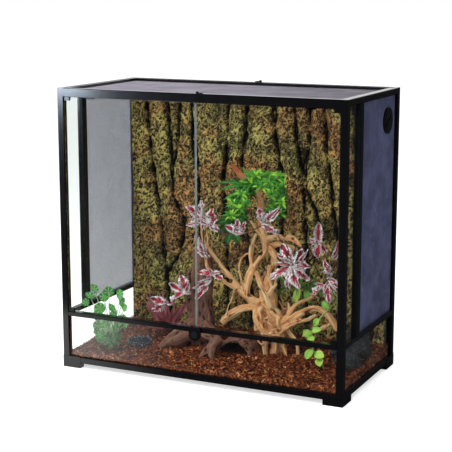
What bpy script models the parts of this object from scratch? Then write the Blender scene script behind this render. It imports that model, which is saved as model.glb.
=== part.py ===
"""Furnished glass terrarium: framed case, swing doors, key lock, lift-out screen lid and decor.

Metres, +Z up. The origin is on the ground at the middle of the case, the doors face -Y.
"""
import math

import bmesh
import bpy
from mathutils import Matrix, Vector, noise

# Case
CASE_WIDTH = 0.900
CASE_DEPTH = 0.450
CASE_HEIGHT = 0.845
CLEARANCE = 0.0003
CHAMFER = 0.0015

# How far a cutter runs past what it cuts, how far two joined shapes run into each other, and the
# numbers of sides of round pieces
CUT_MARGIN = 0.010
WELD = 0.001
PIN_SIDES = 12
KNOB_SIDES = 24
RING_SIDES = 32
FLANGE_SIDES = 40
SMOOTH_ANGLE = math.radians(40)

# Corner posts and the connectors on top of them
POST_SIZE = 0.021
TOP_CAP_HEIGHT = 0.022

# Corner shoes
FOOT_HEIGHT = 0.035
FOOT_PROUD = 0.001
FOOT_ARM_FRONT = 0.060
FOOT_ARM_SIDE = 0.070

# Rails
BASE_RAIL_BOTTOM = 0.015
BASE_RAIL_HEIGHT = 0.019
SILL_TOP = 0.174
SILL_HEIGHT = 0.014
TOP_RAIL_FRONT_HEIGHT = 0.026
TOP_RAIL_SIDE_HEIGHT = 0.019
MULLION_WIDTH = 0.025
MULLION_FROM_FRONT = 0.107

# Panes and mesh panels, held in grooves
GLASS_THICKNESS = 0.004
PANEL_INSET = 0.0105
GROOVE_DEPTH = 0.0045
MESH_THICKNESS = 0.0008
MESH_RIM = 0.004
FLOOR_HEIGHT = 0.0195

# Screen lid
LID_DROP = 0.013
LID_WALL = 0.013
LID_PLAY = 0.0005
LID_FRAME_WIDTH = 0.011
LID_FRAME_HEIGHT = 0.012
LID_MESH_RECESS = 0.0083
LID_GROOVE_DEPTH = 0.004

# Turn buttons that hold the lid
LATCH_LENGTH = 0.020
LATCH_WIDTH = 0.009
LATCH_THICKNESS = 0.003
LATCH_KNOB_RADIUS = 0.0042
LATCH_KNOB_HEIGHT = 0.0026
LATCH_PIN_RADIUS = 0.002
LATCH_PIN_LENGTH = 0.006
LATCH_FRONT_X = 0.005
LATCH_BACK_X = 0.004
LATCH_ARC_STEPS = 8

# Doors
DOOR_INSET = 0.007
DOOR_GAP = 0.002
DOOR_POST_GAP = 0.0006
DOOR_SILL_GAP = 0.0035
DOOR_RAIL_GAP = 0.003
PIVOT_FROM_POST = 0.009
PIVOT_PIN_RADIUS = 0.0015
PIVOT_PIN_LENGTH = 0.0045
PIVOT_HOLE_PLAY = 0.0003
CLIP_BEHIND_PIN = 0.0064
CLIP_AHEAD_OF_PIN = 0.0096
CLIP_HEIGHT = 0.010
CLIP_WALL = 0.0022
CLIP_RAIL_GAP = 0.0005
STOP_FROM_MIDDLE = 0.345
STOP_WIDTH = 0.024
STOP_HEIGHT = 0.004
STOP_DEPTH = 0.0085
STOP_DOOR_GAP = 0.0005

# Key lock on the sill
LOCK_HALF_WIDTH = 0.018
LOCK_AXIS_HEIGHT = 0.155
LOCK_TOP = 0.1767
LOCK_FRONT_WALL = 0.0052
BOLT_HALF_WIDTH = 0.010
BOLT_THICKNESS = 0.0022
BOLT_PLAY = 0.0004
BOLT_BOTTOM = 0.144
BOLT_TRAVEL = 0.008
BOLT_HOOK_THICKNESS = 0.0018
LOCK_ARC_STEPS = 16
BARREL_RADIUS = 0.0075
CAM_PIN_RADIUS = 0.0015
KNOB_RADIUS = 0.010
KNOB_THICKNESS = 0.0026
KEY_SLOT_LENGTH = 0.007
KEY_SLOT_WIDTH = 0.0014
KEY_SLOT_DEPTH = 0.0012

# Access port in the right mesh
PORT_FROM_BACK_POST = 0.067
PORT_BELOW_TOP = 0.090
PORT_FLANGE_RADIUS = 0.0385
PORT_FLANGE_THICKNESS = 0.005
PORT_COLLAR_RADIUS = 0.0295
PORT_BORE_RADIUS = 0.0275
PORT_COLLAR_DEPTH = 0.006
PORT_COVER_PROUD = 0.0008
PORT_GRIP_LENGTH = 0.047
PORT_GRIP_HEIGHT = 0.002
PORT_GRIP_WIDTH = 0.006
PORT_GRIP_ANGLE = math.radians(35)

# Bark background
BARK_EDGE_THICKNESS = 0.0145
BARK_RELIEF = 0.024
BARK_FISSURE_REACH = 0.034
BARK_COLUMNS = 34
BARK_ROWS = 24

# Substrate
SUBSTRATE_FRONT_HEIGHT = 0.042
SUBSTRATE_BACK_RISE = 0.022
SUBSTRATE_RIGHT_RISE = 0.008
SUBSTRATE_BUMP = 0.004
SUBSTRATE_COLUMNS = 20
SUBSTRATE_ROWS = 9

# Water dish
DISH_RADIUS = 0.040
DISH_HEIGHT = 0.020
DISH_WALL = 0.005
DISH_SUNK = 0.006
DISH_PLACE = (-0.277, -0.060)

SEAT_GAP = 0.0004

# The furnishings below are laid out for this inner half width, half depth and height. In a case of another
# size they move with it.
LAYOUT_HALF_WIDTH = 0.429
LAYOUT_HALF_DEPTH = 0.204
LAYOUT_HEIGHT = 0.832

# Places that follow from the sizes above
HALF_WIDTH = CASE_WIDTH / 2
HALF_DEPTH = CASE_DEPTH / 2
INNER_X = HALF_WIDTH - POST_SIZE
INNER_Y = HALF_DEPTH - POST_SIZE
BASE_RAIL_TOP = BASE_RAIL_BOTTOM + BASE_RAIL_HEIGHT
SILL_BOTTOM = SILL_TOP - SILL_HEIGHT
TOP_FRONT_BOTTOM = CASE_HEIGHT - TOP_RAIL_FRONT_HEIGHT
TOP_SIDE_BOTTOM = CASE_HEIGHT - TOP_RAIL_SIDE_HEIGHT
TOP_CAP_BOTTOM = CASE_HEIGHT - TOP_CAP_HEIGHT
LEDGE_TOP = CASE_HEIGHT - LID_DROP
FOOT_END_X = HALF_WIDTH + FOOT_PROUD - FOOT_ARM_FRONT
FOOT_END_Y = HALF_DEPTH + FOOT_PROUD - FOOT_ARM_SIDE
PANEL_X = HALF_WIDTH - PANEL_INSET
PANEL_Y = HALF_DEPTH - PANEL_INSET
GROOVE_HALF = GLASS_THICKNESS / 2 + CLEARANCE
SEAT_X = INNER_X + GROOVE_DEPTH - CLEARANCE
SEAT_Y = INNER_Y + GROOVE_DEPTH - CLEARANCE
MULLION_FRONT_Y = -HALF_DEPTH + MULLION_FROM_FRONT
MULLION_BACK_Y = MULLION_FRONT_Y + MULLION_WIDTH
DOOR_Y = -HALF_DEPTH + DOOR_INSET
DOOR_BOTTOM = SILL_TOP + DOOR_SILL_GAP
DOOR_TOP = TOP_FRONT_BOTTOM - DOOR_RAIL_GAP
PIVOT_X = INNER_X - PIVOT_FROM_POST
SUBSTRATE_FLOOR = FLOOR_HEIGHT + GLASS_THICKNESS + CLEARANCE
LOCK_BACK = -HALF_DEPTH - CLEARANCE
BOLT_BACK = LOCK_BACK - BOLT_PLAY
BOLT_FRONT = BOLT_BACK - BOLT_THICKNESS
LOCK_FRONT = BOLT_FRONT - CLEARANCE - LOCK_FRONT_WALL
CAM_RADIUS = BOLT_TRAVEL / math.sqrt(2)
CAM_PIN_SIDE = CAM_RADIUS * math.cos(math.pi / 4)
CAM_PIN_HEIGHT = LOCK_AXIS_HEIGHT - CAM_RADIUS * math.sin(math.pi / 4)
PIVOT_HOLE_RADIUS = PIVOT_PIN_RADIUS + PIVOT_HOLE_PLAY
PORT_CENTRE = (INNER_Y - PORT_FROM_BACK_POST, CASE_HEIGHT - PORT_BELOW_TOP)
LATCH_FRONT_HUB = (LATCH_FRONT_X, -HALF_DEPTH + LID_WALL / 2)
LATCH_BACK_HUB = (LATCH_BACK_X, HALF_DEPTH - LID_WALL / 2)

# Fissures between the bark plates, from top to bottom, as X and Z
BARK_FISSURES = (
    ((-0.385, 0.82), (-0.375, 0.70), (-0.358, 0.54), (-0.337, 0.43), (-0.314, 0.24), (-0.30, 0.04)),
    ((-0.310, 0.82), (-0.295, 0.63), (-0.288, 0.47), (-0.247, 0.40), (-0.262, 0.29), (-0.310, 0.22)),
    ((-0.260, 0.82), (-0.263, 0.66), (-0.286, 0.58)),
    ((-0.224, 0.82), (-0.207, 0.63), (-0.190, 0.42), (-0.190, 0.20), (-0.180, 0.04)),
    ((-0.085, 0.82), (-0.097, 0.65), (-0.110, 0.54), (-0.104, 0.46), (-0.095, 0.25), (-0.090, 0.04)),
    ((-0.029, 0.82), (-0.032, 0.68), (-0.047, 0.60), (-0.030, 0.40), (-0.010, 0.20), (-0.010, 0.04)),
    ((0.062, 0.82), (0.070, 0.67), (0.085, 0.60), (0.098, 0.46), (0.080, 0.25), (0.090, 0.04)),
    ((0.122, 0.82), (0.146, 0.63), (0.161, 0.55), (0.168, 0.44), (0.173, 0.30), (0.180, 0.04)),
    ((0.178, 0.82), (0.179, 0.66), (0.165, 0.60), (0.172, 0.52), (0.215, 0.43), (0.198, 0.29)),
    ((0.222, 0.82), (0.235, 0.65), (0.258, 0.50), (0.273, 0.37), (0.285, 0.20), (0.285, 0.04)),
    ((0.315, 0.82), (0.330, 0.60), (0.322, 0.40), (0.350, 0.20), (0.345, 0.04)),
    ((0.385, 0.82), (0.378, 0.60), (0.392, 0.35), (0.385, 0.04)),
)

# Driftwood: each branch is a run of X, Y, Z and radius
DRIFTWOOD_BRANCHES = (
    (
        (0.155, 0.020, 0.020, 0.050),
        (0.150, 0.020, 0.090, 0.048),
        (0.135, 0.025, 0.150, 0.052),
        (0.112, 0.030, 0.215, 0.046),
        (0.096, 0.040, 0.290, 0.034),
        (0.094, 0.050, 0.370, 0.022),
        (0.086, 0.058, 0.405, 0.017),
        (0.078, 0.060, 0.455, 0.015),
        (0.076, 0.060, 0.500, 0.014),
        (0.058, 0.060, 0.535, 0.015),
        (0.028, 0.060, 0.560, 0.010),
        (0.004, 0.060, 0.582, 0.010),
        (-0.020, 0.060, 0.610, 0.005),
    ),
    (
        (-0.109, 0.020, 0.428, 0.004),
        (-0.085, 0.018, 0.359, 0.008),
        (-0.055, 0.014, 0.316, 0.010),
        (-0.018, 0.010, 0.276, 0.012),
        (0.025, 0.008, 0.240, 0.015),
        (0.065, 0.010, 0.210, 0.020),
        (0.115, 0.020, 0.180, 0.030),
    ),
    (
        (-0.078, -0.012, 0.388, 0.004),
        (-0.077, -0.014, 0.345, 0.006),
        (-0.064, -0.014, 0.292, 0.007),
        (-0.022, -0.008, 0.260, 0.009),
        (0.030, 0.000, 0.232, 0.012),
    ),
    (
        (0.050, 0.020, 0.352, 0.004),
        (0.022, 0.020, 0.318, 0.006),
        (0.022, 0.016, 0.265, 0.009),
        (0.034, 0.010, 0.228, 0.011),
    ),
    (
        (0.084, 0.020, 0.420, 0.008),
        (0.066, 0.012, 0.362, 0.011),
        (0.064, 0.006, 0.296, 0.012),
        (0.058, 0.002, 0.235, 0.012),
        (0.085, 0.010, 0.190, 0.014),
    ),
    (
        (0.095, 0.055, 0.372, 0.016),
        (0.135, 0.055, 0.404, 0.021),
        (0.180, 0.055, 0.402, 0.020),
        (0.212, 0.050, 0.376, 0.008),
    ),
    (
        (0.135, 0.050, 0.400, 0.010),
        (0.137, 0.040, 0.350, 0.012),
        (0.128, 0.030, 0.290, 0.020),
        (0.120, 0.025, 0.220, 0.026),
    ),
    (
        (0.172, 0.020, 0.318, 0.003),
        (0.140, 0.022, 0.352, 0.004),
        (0.112, 0.040, 0.382, 0.008),
    ),
    (
        (-0.022, -0.004, 0.128, 0.019),
        (0.000, -0.002, 0.142, 0.021),
        (0.040, 0.002, 0.172, 0.022),
        (0.100, 0.015, 0.195, 0.026),
    ),
    (
        (0.150, 0.010, 0.128, 0.026),
        (0.200, 0.000, 0.156, 0.020),
        (0.245, 0.000, 0.184, 0.016),
        (0.286, 0.000, 0.208, 0.016),
        (0.325, -0.002, 0.186, 0.016),
        (0.352, -0.002, 0.146, 0.010),
    ),
    (
        (0.140, 0.020, 0.150, 0.024),
        (0.196, 0.022, 0.196, 0.014),
        (0.235, 0.022, 0.224, 0.011),
        (0.275, 0.020, 0.238, 0.010),
        (0.298, 0.020, 0.275, 0.008),
        (0.302, 0.020, 0.305, 0.004),
    ),
    (
        (0.170, 0.000, 0.118, 0.018),
        (0.225, -0.010, 0.140, 0.013),
        (0.272, -0.006, 0.158, 0.012),
        (0.300, -0.004, 0.178, 0.010),
    ),
    (
        (0.272, 0.000, 0.132, 0.010),
        (0.305, 0.000, 0.150, 0.013),
        (0.330, 0.000, 0.166, 0.010),
    ),
    (
        (0.150, 0.000, 0.100, 0.030),
        (0.120, -0.030, 0.070, 0.018),
        (0.105, -0.045, 0.030, 0.010),
    ),
    (
        (0.165, 0.000, 0.100, 0.028),
        (0.190, -0.035, 0.075, 0.016),
        (0.210, -0.050, 0.030, 0.009),
    ),
    (
        (0.100, 0.020, 0.150, 0.026),
        (0.072, 0.000, 0.118, 0.016),
        (0.100, -0.025, 0.108, 0.018),
        (0.150, -0.030, 0.110, 0.020),
        (0.190, -0.012, 0.120, 0.012),
    ),
)

# Hide: trunk, roots and the arch over the cave
STUMP_BRANCHES = (
    (
        (-0.104, 0.030, 0.020, 0.056),
        (-0.104, 0.028, 0.070, 0.048),
        (-0.104, 0.024, 0.120, 0.040),
        (-0.102, 0.020, 0.200, 0.034),
        (-0.098, 0.020, 0.280, 0.032),
        (-0.096, 0.020, 0.345, 0.028),
    ),
    (
        (-0.104, 0.000, 0.120, 0.032),
        (-0.122, -0.030, 0.098, 0.030),
        (-0.165, -0.050, 0.070, 0.024),
        (-0.212, -0.062, 0.036, 0.012),
    ),
    (
        (-0.095, 0.010, 0.110, 0.030),
        (-0.060, -0.015, 0.100, 0.030),
        (-0.020, -0.030, 0.084, 0.026),
        (-0.012, -0.040, 0.030, 0.024),
    ),
    (
        (-0.018, -0.040, 0.086, 0.016),
        (-0.018, -0.080, 0.080, 0.013),
        (-0.034, -0.102, 0.058, 0.012),
        (-0.048, -0.112, 0.026, 0.009),
    ),
    (
        (-0.018, -0.074, 0.078, 0.012),
        (-0.008, -0.104, 0.060, 0.010),
        (0.004, -0.122, 0.026, 0.009),
    ),
)
ARCH_CENTRE = (0.035, 0.004, 0.036)
ARCH_HALF_SPAN = 0.060
ARCH_HALF_DEPTH = 0.048
ARCH_HEIGHT = 0.060
ARCH_WALL = 0.013
ARCH_STEPS = 10

STUMP_SIDES = 8
DRIFTWOOD_SIDES = 7

# Rocks: the centre as its distance from the right wall, Y and Z, then the half sizes
ROCK_SEED = 1.3
ROCK_GRAIN = 1.7
ROCK_ROUGHNESS = 0.28
ROCKS = (
    ((0.044, 0.055, 0.085), (0.044, 0.050, 0.062)),
    ((0.037, -0.025, 0.066), (0.038, 0.050, 0.044)),
    ((0.084, 0.050, 0.066), (0.034, 0.040, 0.050)),
)


# Leaf outlines: how far along the leaf, and how wide there
LEAF_POINTED = ((0.22, 0.62), (0.50, 1.0), (0.80, 0.62))
LEAF_ROUND = ((0.15, 0.71), (0.50, 1.0), (0.85, 0.71))
LEAF_STRAP = ((0.25, 0.75), (0.55, 1.0), (0.85, 0.55))
LEAF_FACING = (0.0, -0.8, 0.6)
LEAF_THICKNESS = 0.0024
STEM_SIDES = 5
STEM_END_SHARE = 0.05
STALK_SIDES = 4
STALK_RADIUS = 0.0014

# Plants: stems are runs of X, Y, Z and radius. A leaf is a point near its stem, its tip and its width.
FERN_STEMS = (
    (
        (0.068, 0.060, 0.515, 0.0030),
        (0.055, 0.034, 0.552, 0.0025),
        (0.080, 0.028, 0.576, 0.0025),
        (0.120, 0.028, 0.576, 0.0020),
        (0.140, 0.030, 0.548, 0.0020),
        (0.146, 0.030, 0.505, 0.0018),
        (0.140, 0.030, 0.470, 0.0015),
    ),
    (
        (0.064, 0.060, 0.528, 0.0030),
        (0.038, 0.034, 0.540, 0.0025),
        (0.020, 0.028, 0.500, 0.0022),
        (0.012, 0.026, 0.450, 0.0018),
        (0.004, 0.026, 0.415, 0.0015),
    ),
)
FERN_LEAVES = (
    ((0.052, 0.034, 0.552), (-0.067, 0.020, 0.549), 0.017),
    ((0.055, 0.034, 0.552), (-0.043, 0.012, 0.530), 0.017),
    ((0.062, 0.034, 0.560), (0.027, 0.032, 0.607), 0.015),
    ((0.076, 0.030, 0.570), (0.073, 0.020, 0.610), 0.015),
    ((0.094, 0.030, 0.576), (0.098, 0.034, 0.608), 0.013),
    ((0.120, 0.028, 0.576), (0.151, 0.020, 0.604), 0.015),
    ((0.122, 0.028, 0.572), (0.182, 0.030, 0.579), 0.016),
    ((0.128, 0.030, 0.564), (0.170, 0.012, 0.556), 0.014),
    ((0.140, 0.030, 0.548), (0.182, 0.030, 0.520), 0.014),
    ((0.144, 0.030, 0.520), (0.180, 0.030, 0.490), 0.014),
    ((0.146, 0.030, 0.505), (0.172, 0.022, 0.466), 0.013),
    ((0.146, 0.030, 0.505), (0.112, 0.016, 0.480), 0.013),
    ((0.140, 0.030, 0.470), (0.150, 0.030, 0.436), 0.013),
    ((0.142, 0.030, 0.535), (0.108, 0.012, 0.520), 0.014),
    ((0.105, 0.028, 0.576), (0.096, 0.004, 0.538), 0.015),
    ((0.075, 0.028, 0.572), (0.052, 0.006, 0.528), 0.015),
    ((0.085, 0.028, 0.576), (0.126, 0.004, 0.590), 0.015),
    ((0.038, 0.034, 0.540), (-0.012, 0.026, 0.575), 0.015),
    ((0.030, 0.030, 0.530), (-0.026, 0.018, 0.505), 0.015),
    ((0.026, 0.030, 0.515), (0.058, 0.010, 0.498), 0.014),
    ((0.020, 0.028, 0.500), (-0.022, 0.018, 0.482), 0.014),
    ((0.018, 0.028, 0.490), (0.050, 0.012, 0.470), 0.014),
    ((0.016, 0.027, 0.475), (-0.022, 0.016, 0.452), 0.014),
    ((0.013, 0.026, 0.460), (0.046, 0.012, 0.442), 0.014),
    ((0.012, 0.026, 0.445), (-0.048, 0.014, 0.432), 0.026),
    ((0.008, 0.026, 0.435), (-0.052, 0.016, 0.395), 0.026),
    ((0.004, 0.026, 0.418), (-0.012, 0.016, 0.370), 0.026),
    ((0.004, 0.026, 0.418), (0.030, 0.014, 0.378), 0.024),
)
GARLAND_STEMS = (
    (
        (-0.205, -0.028, 0.172, 0.0015),
        (-0.165, -0.032, 0.200, 0.0015),
        (-0.129, -0.036, 0.225, 0.0015),
        (-0.081, -0.036, 0.243, 0.0015),
        (-0.038, -0.036, 0.275, 0.0015),
        (-0.042, -0.036, 0.315, 0.0015),
        (-0.058, -0.036, 0.350, 0.0015),
        (-0.070, -0.032, 0.400, 0.0015),
        (-0.074, -0.018, 0.452, 0.0015),
        (-0.042, -0.022, 0.424, 0.0015),
        (-0.002, -0.022, 0.412, 0.0015),
        (0.045, -0.012, 0.420, 0.0015),
        (0.094, -0.004, 0.434, 0.0015),
        (0.130, 0.000, 0.462, 0.0015),
        (0.158, -0.005, 0.423, 0.0015),
        (0.187, -0.012, 0.384, 0.0015),
        (0.214, -0.018, 0.336, 0.0015),
        (0.259, -0.012, 0.360, 0.0015),
        (0.294, 0.000, 0.405, 0.0015),
        (0.336, -0.004, 0.363, 0.0015),
        (0.330, -0.012, 0.312, 0.0015),
        (0.315, -0.015, 0.283, 0.0015),
    ),
    ((-0.056, -0.037, 0.345, 0.0015), (-0.070, -0.012, 0.330, 0.0015)),
    ((-0.076, -0.020, 0.450, 0.0015), (-0.092, 0.018, 0.385, 0.0015)),
    ((0.092, -0.006, 0.433, 0.0015), (0.084, 0.056, 0.430, 0.0015)),
    ((0.213, -0.020, 0.338, 0.0015), (0.196, 0.050, 0.384, 0.0015)),
    ((0.317, -0.017, 0.287, 0.0015), (0.300, 0.020, 0.290, 0.0015)),
)
GARLAND_LEAVES = (
    ((-0.080, -0.020, 0.455), (-0.076, -0.020, 0.508), 0.028),
    ((-0.035, -0.022, 0.421), (-0.047, -0.020, 0.484), 0.030),
    ((-0.055, -0.022, 0.432), (-0.098, -0.036, 0.466), 0.026),
    ((-0.074, -0.018, 0.452), (-0.129, -0.020, 0.487), 0.028),
    ((-0.074, -0.020, 0.445), (-0.127, -0.020, 0.428), 0.026),
    ((0.026, -0.018, 0.415), (0.037, -0.015, 0.458), 0.024),
    ((0.045, -0.012, 0.420), (0.066, -0.014, 0.453), 0.020),
    ((0.040, -0.012, 0.420), (0.002, -0.032, 0.440), 0.020),
    ((0.120, -0.002, 0.452), (0.166, 0.000, 0.496), 0.026),
    ((0.120, -0.002, 0.452), (0.104, 0.002, 0.495), 0.022),
    ((0.156, -0.005, 0.423), (0.112, -0.018, 0.446), 0.022),
    ((0.288, 0.000, 0.400), (0.286, 0.002, 0.467), 0.026),
    ((0.294, 0.000, 0.403), (0.288, -0.008, 0.362), 0.028),
    ((0.334, -0.004, 0.364), (0.350, -0.004, 0.418), 0.020),
    ((0.210, -0.018, 0.340), (0.178, -0.022, 0.398), 0.028),
    ((0.219, -0.018, 0.340), (0.243, -0.022, 0.396), 0.028),
    ((0.226, -0.018, 0.342), (0.274, -0.030, 0.341), 0.028),
    ((0.212, -0.018, 0.336), (0.150, -0.030, 0.290), 0.024),
    ((0.214, -0.018, 0.336), (0.204, -0.030, 0.272), 0.026),
    ((0.222, -0.018, 0.340), (0.275, -0.032, 0.300), 0.026),
    ((0.216, -0.018, 0.336), (0.250, -0.040, 0.274), 0.026),
    ((0.332, -0.010, 0.322), (0.314, -0.020, 0.362), 0.020),
    ((0.316, -0.015, 0.285), (0.283, -0.030, 0.252), 0.022),
    ((0.320, -0.014, 0.292), (0.336, -0.030, 0.238), 0.024),
    ((0.328, -0.012, 0.304), (0.362, -0.030, 0.288), 0.020),
    ((-0.045, -0.036, 0.268), (-0.086, -0.048, 0.208), 0.022),
    ((-0.040, -0.036, 0.276), (-0.080, -0.048, 0.250), 0.020),
    ((-0.040, -0.036, 0.290), (-0.082, -0.050, 0.292), 0.020),
    ((-0.040, -0.036, 0.290), (0.004, -0.048, 0.276), 0.020),
    ((-0.052, -0.036, 0.335), (-0.094, -0.042, 0.362), 0.020),
    ((-0.060, -0.036, 0.352), (-0.074, -0.048, 0.396), 0.022),
    ((-0.126, -0.036, 0.226), (-0.143, -0.040, 0.277), 0.032),
    ((-0.129, -0.036, 0.225), (-0.176, -0.048, 0.176), 0.024),
    ((-0.133, -0.036, 0.222), (-0.182, -0.036, 0.244), 0.024),
    ((-0.195, -0.030, 0.178), (-0.246, -0.040, 0.192), 0.026),
    ((-0.203, -0.030, 0.172), (-0.240, -0.036, 0.150), 0.022),
)
ROUND_PLANT_ROOT = (-0.335, -0.135)
ROUND_PLANT_LEAVES = (
    (-0.381, -0.150, 0.231),
    (-0.328, -0.155, 0.238),
    (-0.289, -0.145, 0.224),
    (-0.408, -0.140, 0.206),
    (-0.412, -0.158, 0.176),
    (-0.358, -0.162, 0.182),
    (-0.305, -0.165, 0.188),
    (-0.262, -0.150, 0.190),
    (-0.367, -0.168, 0.136),
    (-0.400, -0.140, 0.120),
    (-0.327, -0.175, 0.144),
    (-0.290, -0.160, 0.136),
    (-0.330, -0.178, 0.100),
    (-0.274, -0.155, 0.096),
    (-0.374, -0.172, 0.090),
)
ROUND_PLANT_LEAF = 0.034
STALK_BEND_SHARE = 0.55
STALK_END_SHARE = 0.6
ROUND_PLANT_FACING = (0.2, -0.7, 0.7)
STALK_BEND = 0.012
GOLDEN_ANGLE = math.radians(137.5)
CROWN_SIDES = 6
CROWN_DEPTH = 0.010
CROWN_HEIGHT = 0.021
ROUND_CROWN_RADIUS = 0.010
ROUND_CROWN_TOP_RADIUS = 0.007
MAROON_CROWN_RADIUS = 0.014
MAROON_CROWN_TOP_RADIUS = 0.008
MAROON_ROOT = (-0.226, 0.052)
MAROON_TIPS = (
    (-0.303, 0.030, 0.186),
    (-0.312, 0.045, 0.145),
    (-0.279, 0.010, 0.162),
    (-0.251, 0.045, 0.195),
    (-0.213, 0.005, 0.160),
    (-0.181, 0.040, 0.148),
    (-0.157, 0.060, 0.172),
    (-0.316, 0.030, 0.092),
    (-0.246, 0.000, 0.128),
    (-0.280, 0.010, 0.100),
    (-0.196, 0.010, 0.108),
)
MAROON_LEAF_WIDTH = 0.020
MAROON_FACING_SPREAD = 0.5
MAROON_FACING = (-0.8, 0.5)
VINE_STEMS = (
    (
        (0.345, -0.078, 0.030, 0.0018),
        (0.330, -0.080, 0.080, 0.0018),
        (0.308, -0.080, 0.104, 0.0018),
        (0.300, -0.080, 0.150, 0.0018),
        (0.308, -0.078, 0.182, 0.0018),
        (0.322, -0.060, 0.204, 0.0018),
        (0.334, -0.030, 0.222, 0.0018),
        (0.345, 0.006, 0.238, 0.0018),
        (0.322, 0.040, 0.252, 0.0018),
        (0.270, 0.058, 0.252, 0.0018),
        (0.210, 0.064, 0.250, 0.0018),
        (0.168, 0.064, 0.240, 0.0018),
        (0.120, 0.040, 0.235, 0.0018),
    ),
)
VINE_LEAVES = (
    ((0.308, -0.078, 0.182), (0.330, -0.090, 0.206), 0.020),
    ((0.300, -0.080, 0.152), (0.272, -0.088, 0.164), 0.022),
    ((0.302, -0.080, 0.140), (0.320, -0.096, 0.128), 0.020),
    ((0.304, -0.080, 0.166), (0.334, -0.088, 0.172), 0.020),
    ((0.310, -0.080, 0.100), (0.284, -0.094, 0.104), 0.024),
    ((0.322, -0.080, 0.090), (0.352, -0.088, 0.110), 0.024),
    ((0.330, -0.080, 0.078), (0.322, -0.104, 0.060), 0.020),
    ((0.336, -0.028, 0.222), (0.312, -0.030, 0.240), 0.020),
    ((0.345, 0.006, 0.238), (0.372, 0.000, 0.256), 0.022),
    ((0.168, 0.064, 0.240), (0.138, 0.050, 0.285), 0.022),
    ((0.180, 0.064, 0.243), (0.176, 0.050, 0.290), 0.022),
    ((0.205, 0.064, 0.250), (0.196, 0.048, 0.206), 0.022),
    ((0.225, 0.062, 0.250), (0.246, 0.046, 0.210), 0.022),
    ((0.212, 0.064, 0.250), (0.220, 0.050, 0.296), 0.022),
    ((0.255, 0.060, 0.252), (0.262, 0.048, 0.298), 0.022),
)


def remove_everything():
    for thing in list(bpy.data.objects):
        bpy.data.objects.remove(thing, do_unlink=True)


def plastic_or_wood(name, colour, roughness, metallic=0.0):
    made = bpy.data.materials.new(name)
    made.use_nodes = True
    shader = made.node_tree.nodes["Principled BSDF"]
    shader.inputs["Base Color"].default_value = (*colour, 1.0)
    shader.inputs["Roughness"].default_value = roughness
    shader.inputs["Metallic"].default_value = metallic
    return made


def clear_glass(name, colour):
    made = plastic_or_wood(name, colour, 0.03)
    shader = made.node_tree.nodes["Principled BSDF"]
    shader.inputs["Transmission Weight"].default_value = 1.0
    shader.inputs["IOR"].default_value = 1.5
    return made


def object_from_mesh(name, mesh, material):
    made = bpy.data.objects.new(name, mesh)
    bpy.context.scene.collection.objects.link(made)
    mesh.materials.clear()
    mesh.materials.append(material)
    return made


def mesh_from_solid(name, solid, uneven=False):
    """A mesh with outward faces, from a pair of point and face lists. Uneven faces become triangles."""
    points, faces = solid
    mesh = bpy.data.meshes.new(name)
    shape = bmesh.new()
    corners = [shape.verts.new(point) for point in points]
    for face in faces:
        shape.faces.new([corners[index] for index in face])
    bmesh.ops.recalc_face_normals(shape, faces=shape.faces)
    if uneven:
        bmesh.ops.triangulate(shape, faces=shape.faces)
    shape.to_mesh(mesh)
    shape.free()
    return mesh


def solid_object(name, solid, material, uneven=False):
    return object_from_mesh(name, mesh_from_solid(name, solid, uneven), material)


def prism(outline, axis, start, end):
    """The solid of an outline pushed along an axis. The outline's two values are the other axes, in order."""
    def place(first, second, along):
        spot = [first, second]
        spot.insert("xyz".index(axis), along)
        return tuple(spot)

    count = len(outline)
    points = [place(u, v, start) for u, v in outline] + [place(u, v, end) for u, v in outline]
    faces = [tuple(range(count)), tuple(range(count, 2 * count))]
    for index in range(count):
        after = (index + 1) % count
        faces.append((index, after, count + after, count + index))
    return points, faces


def box(low, high):
    outline = ((low[0], low[1]), (high[0], low[1]), (high[0], high[1]), (low[0], high[1]))
    return prism(outline, "z", low[2], high[2])


def cylinder(centre, radius, axis, start, end, sides=24):
    """A round prism. The centre's two values are the axes across it, in order."""
    turn = 2 * math.pi / sides
    outline = []
    for step in range(sides):
        angle = turn * (step + 0.5)
        outline.append((centre[0] + radius * math.cos(angle), centre[1] + radius * math.sin(angle)))
    return prism(outline, axis, start, end)


def set_origin(piece, point):
    """Put a piece's origin on its joint's axis and leave its shape where it is."""
    piece.data.transform(Matrix.Translation(-Vector(point)))
    piece.location = point


def hang_from(name, point, pieces):
    """Parent the pieces of a moving body to an empty on its joint's axis."""
    axis = bpy.data.objects.new(name, None)
    bpy.context.scene.collection.objects.link(axis)
    axis.location = point
    for piece in pieces:
        piece.parent = axis
        piece.location = -Vector(point)


def shade_round(pieces):
    for piece in pieces:
        piece.data.shade_smooth()
        piece.data.set_sharp_from_angle(angle=SMOOTH_ANGLE)


def laid_out(point):
    """A furnishing's point, moved with the case's inner size. A fourth value, a radius, is kept."""
    x, y, z, *radius = point
    x *= INNER_X / LAYOUT_HALF_WIDTH
    y *= INNER_Y / LAYOUT_HALF_DEPTH
    z *= LEDGE_TOP / LAYOUT_HEIGHT
    return x, y, z, *radius


def boolean(target, other, operation, overlapping=False):
    """Apply one Boolean to the target and drop the other object."""
    step = target.modifiers.new(operation.title(), "BOOLEAN")
    step.operation = operation
    step.solver = "EXACT"
    step.use_self = overlapping
    step.object = other
    bpy.context.view_layer.update()
    evaluated = target.evaluated_get(bpy.context.evaluated_depsgraph_get())
    result = bpy.data.meshes.new_from_object(evaluated)
    target.modifiers.clear()
    target.data = result
    bpy.data.objects.remove(other, do_unlink=True)


def carve(target, solid):
    boolean(target, solid_object("cutter", solid, target.data.materials[0]), "DIFFERENCE")


def add(target, solid):
    boolean(target, solid_object("addition", solid, target.data.materials[0]), "UNION")


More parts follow.
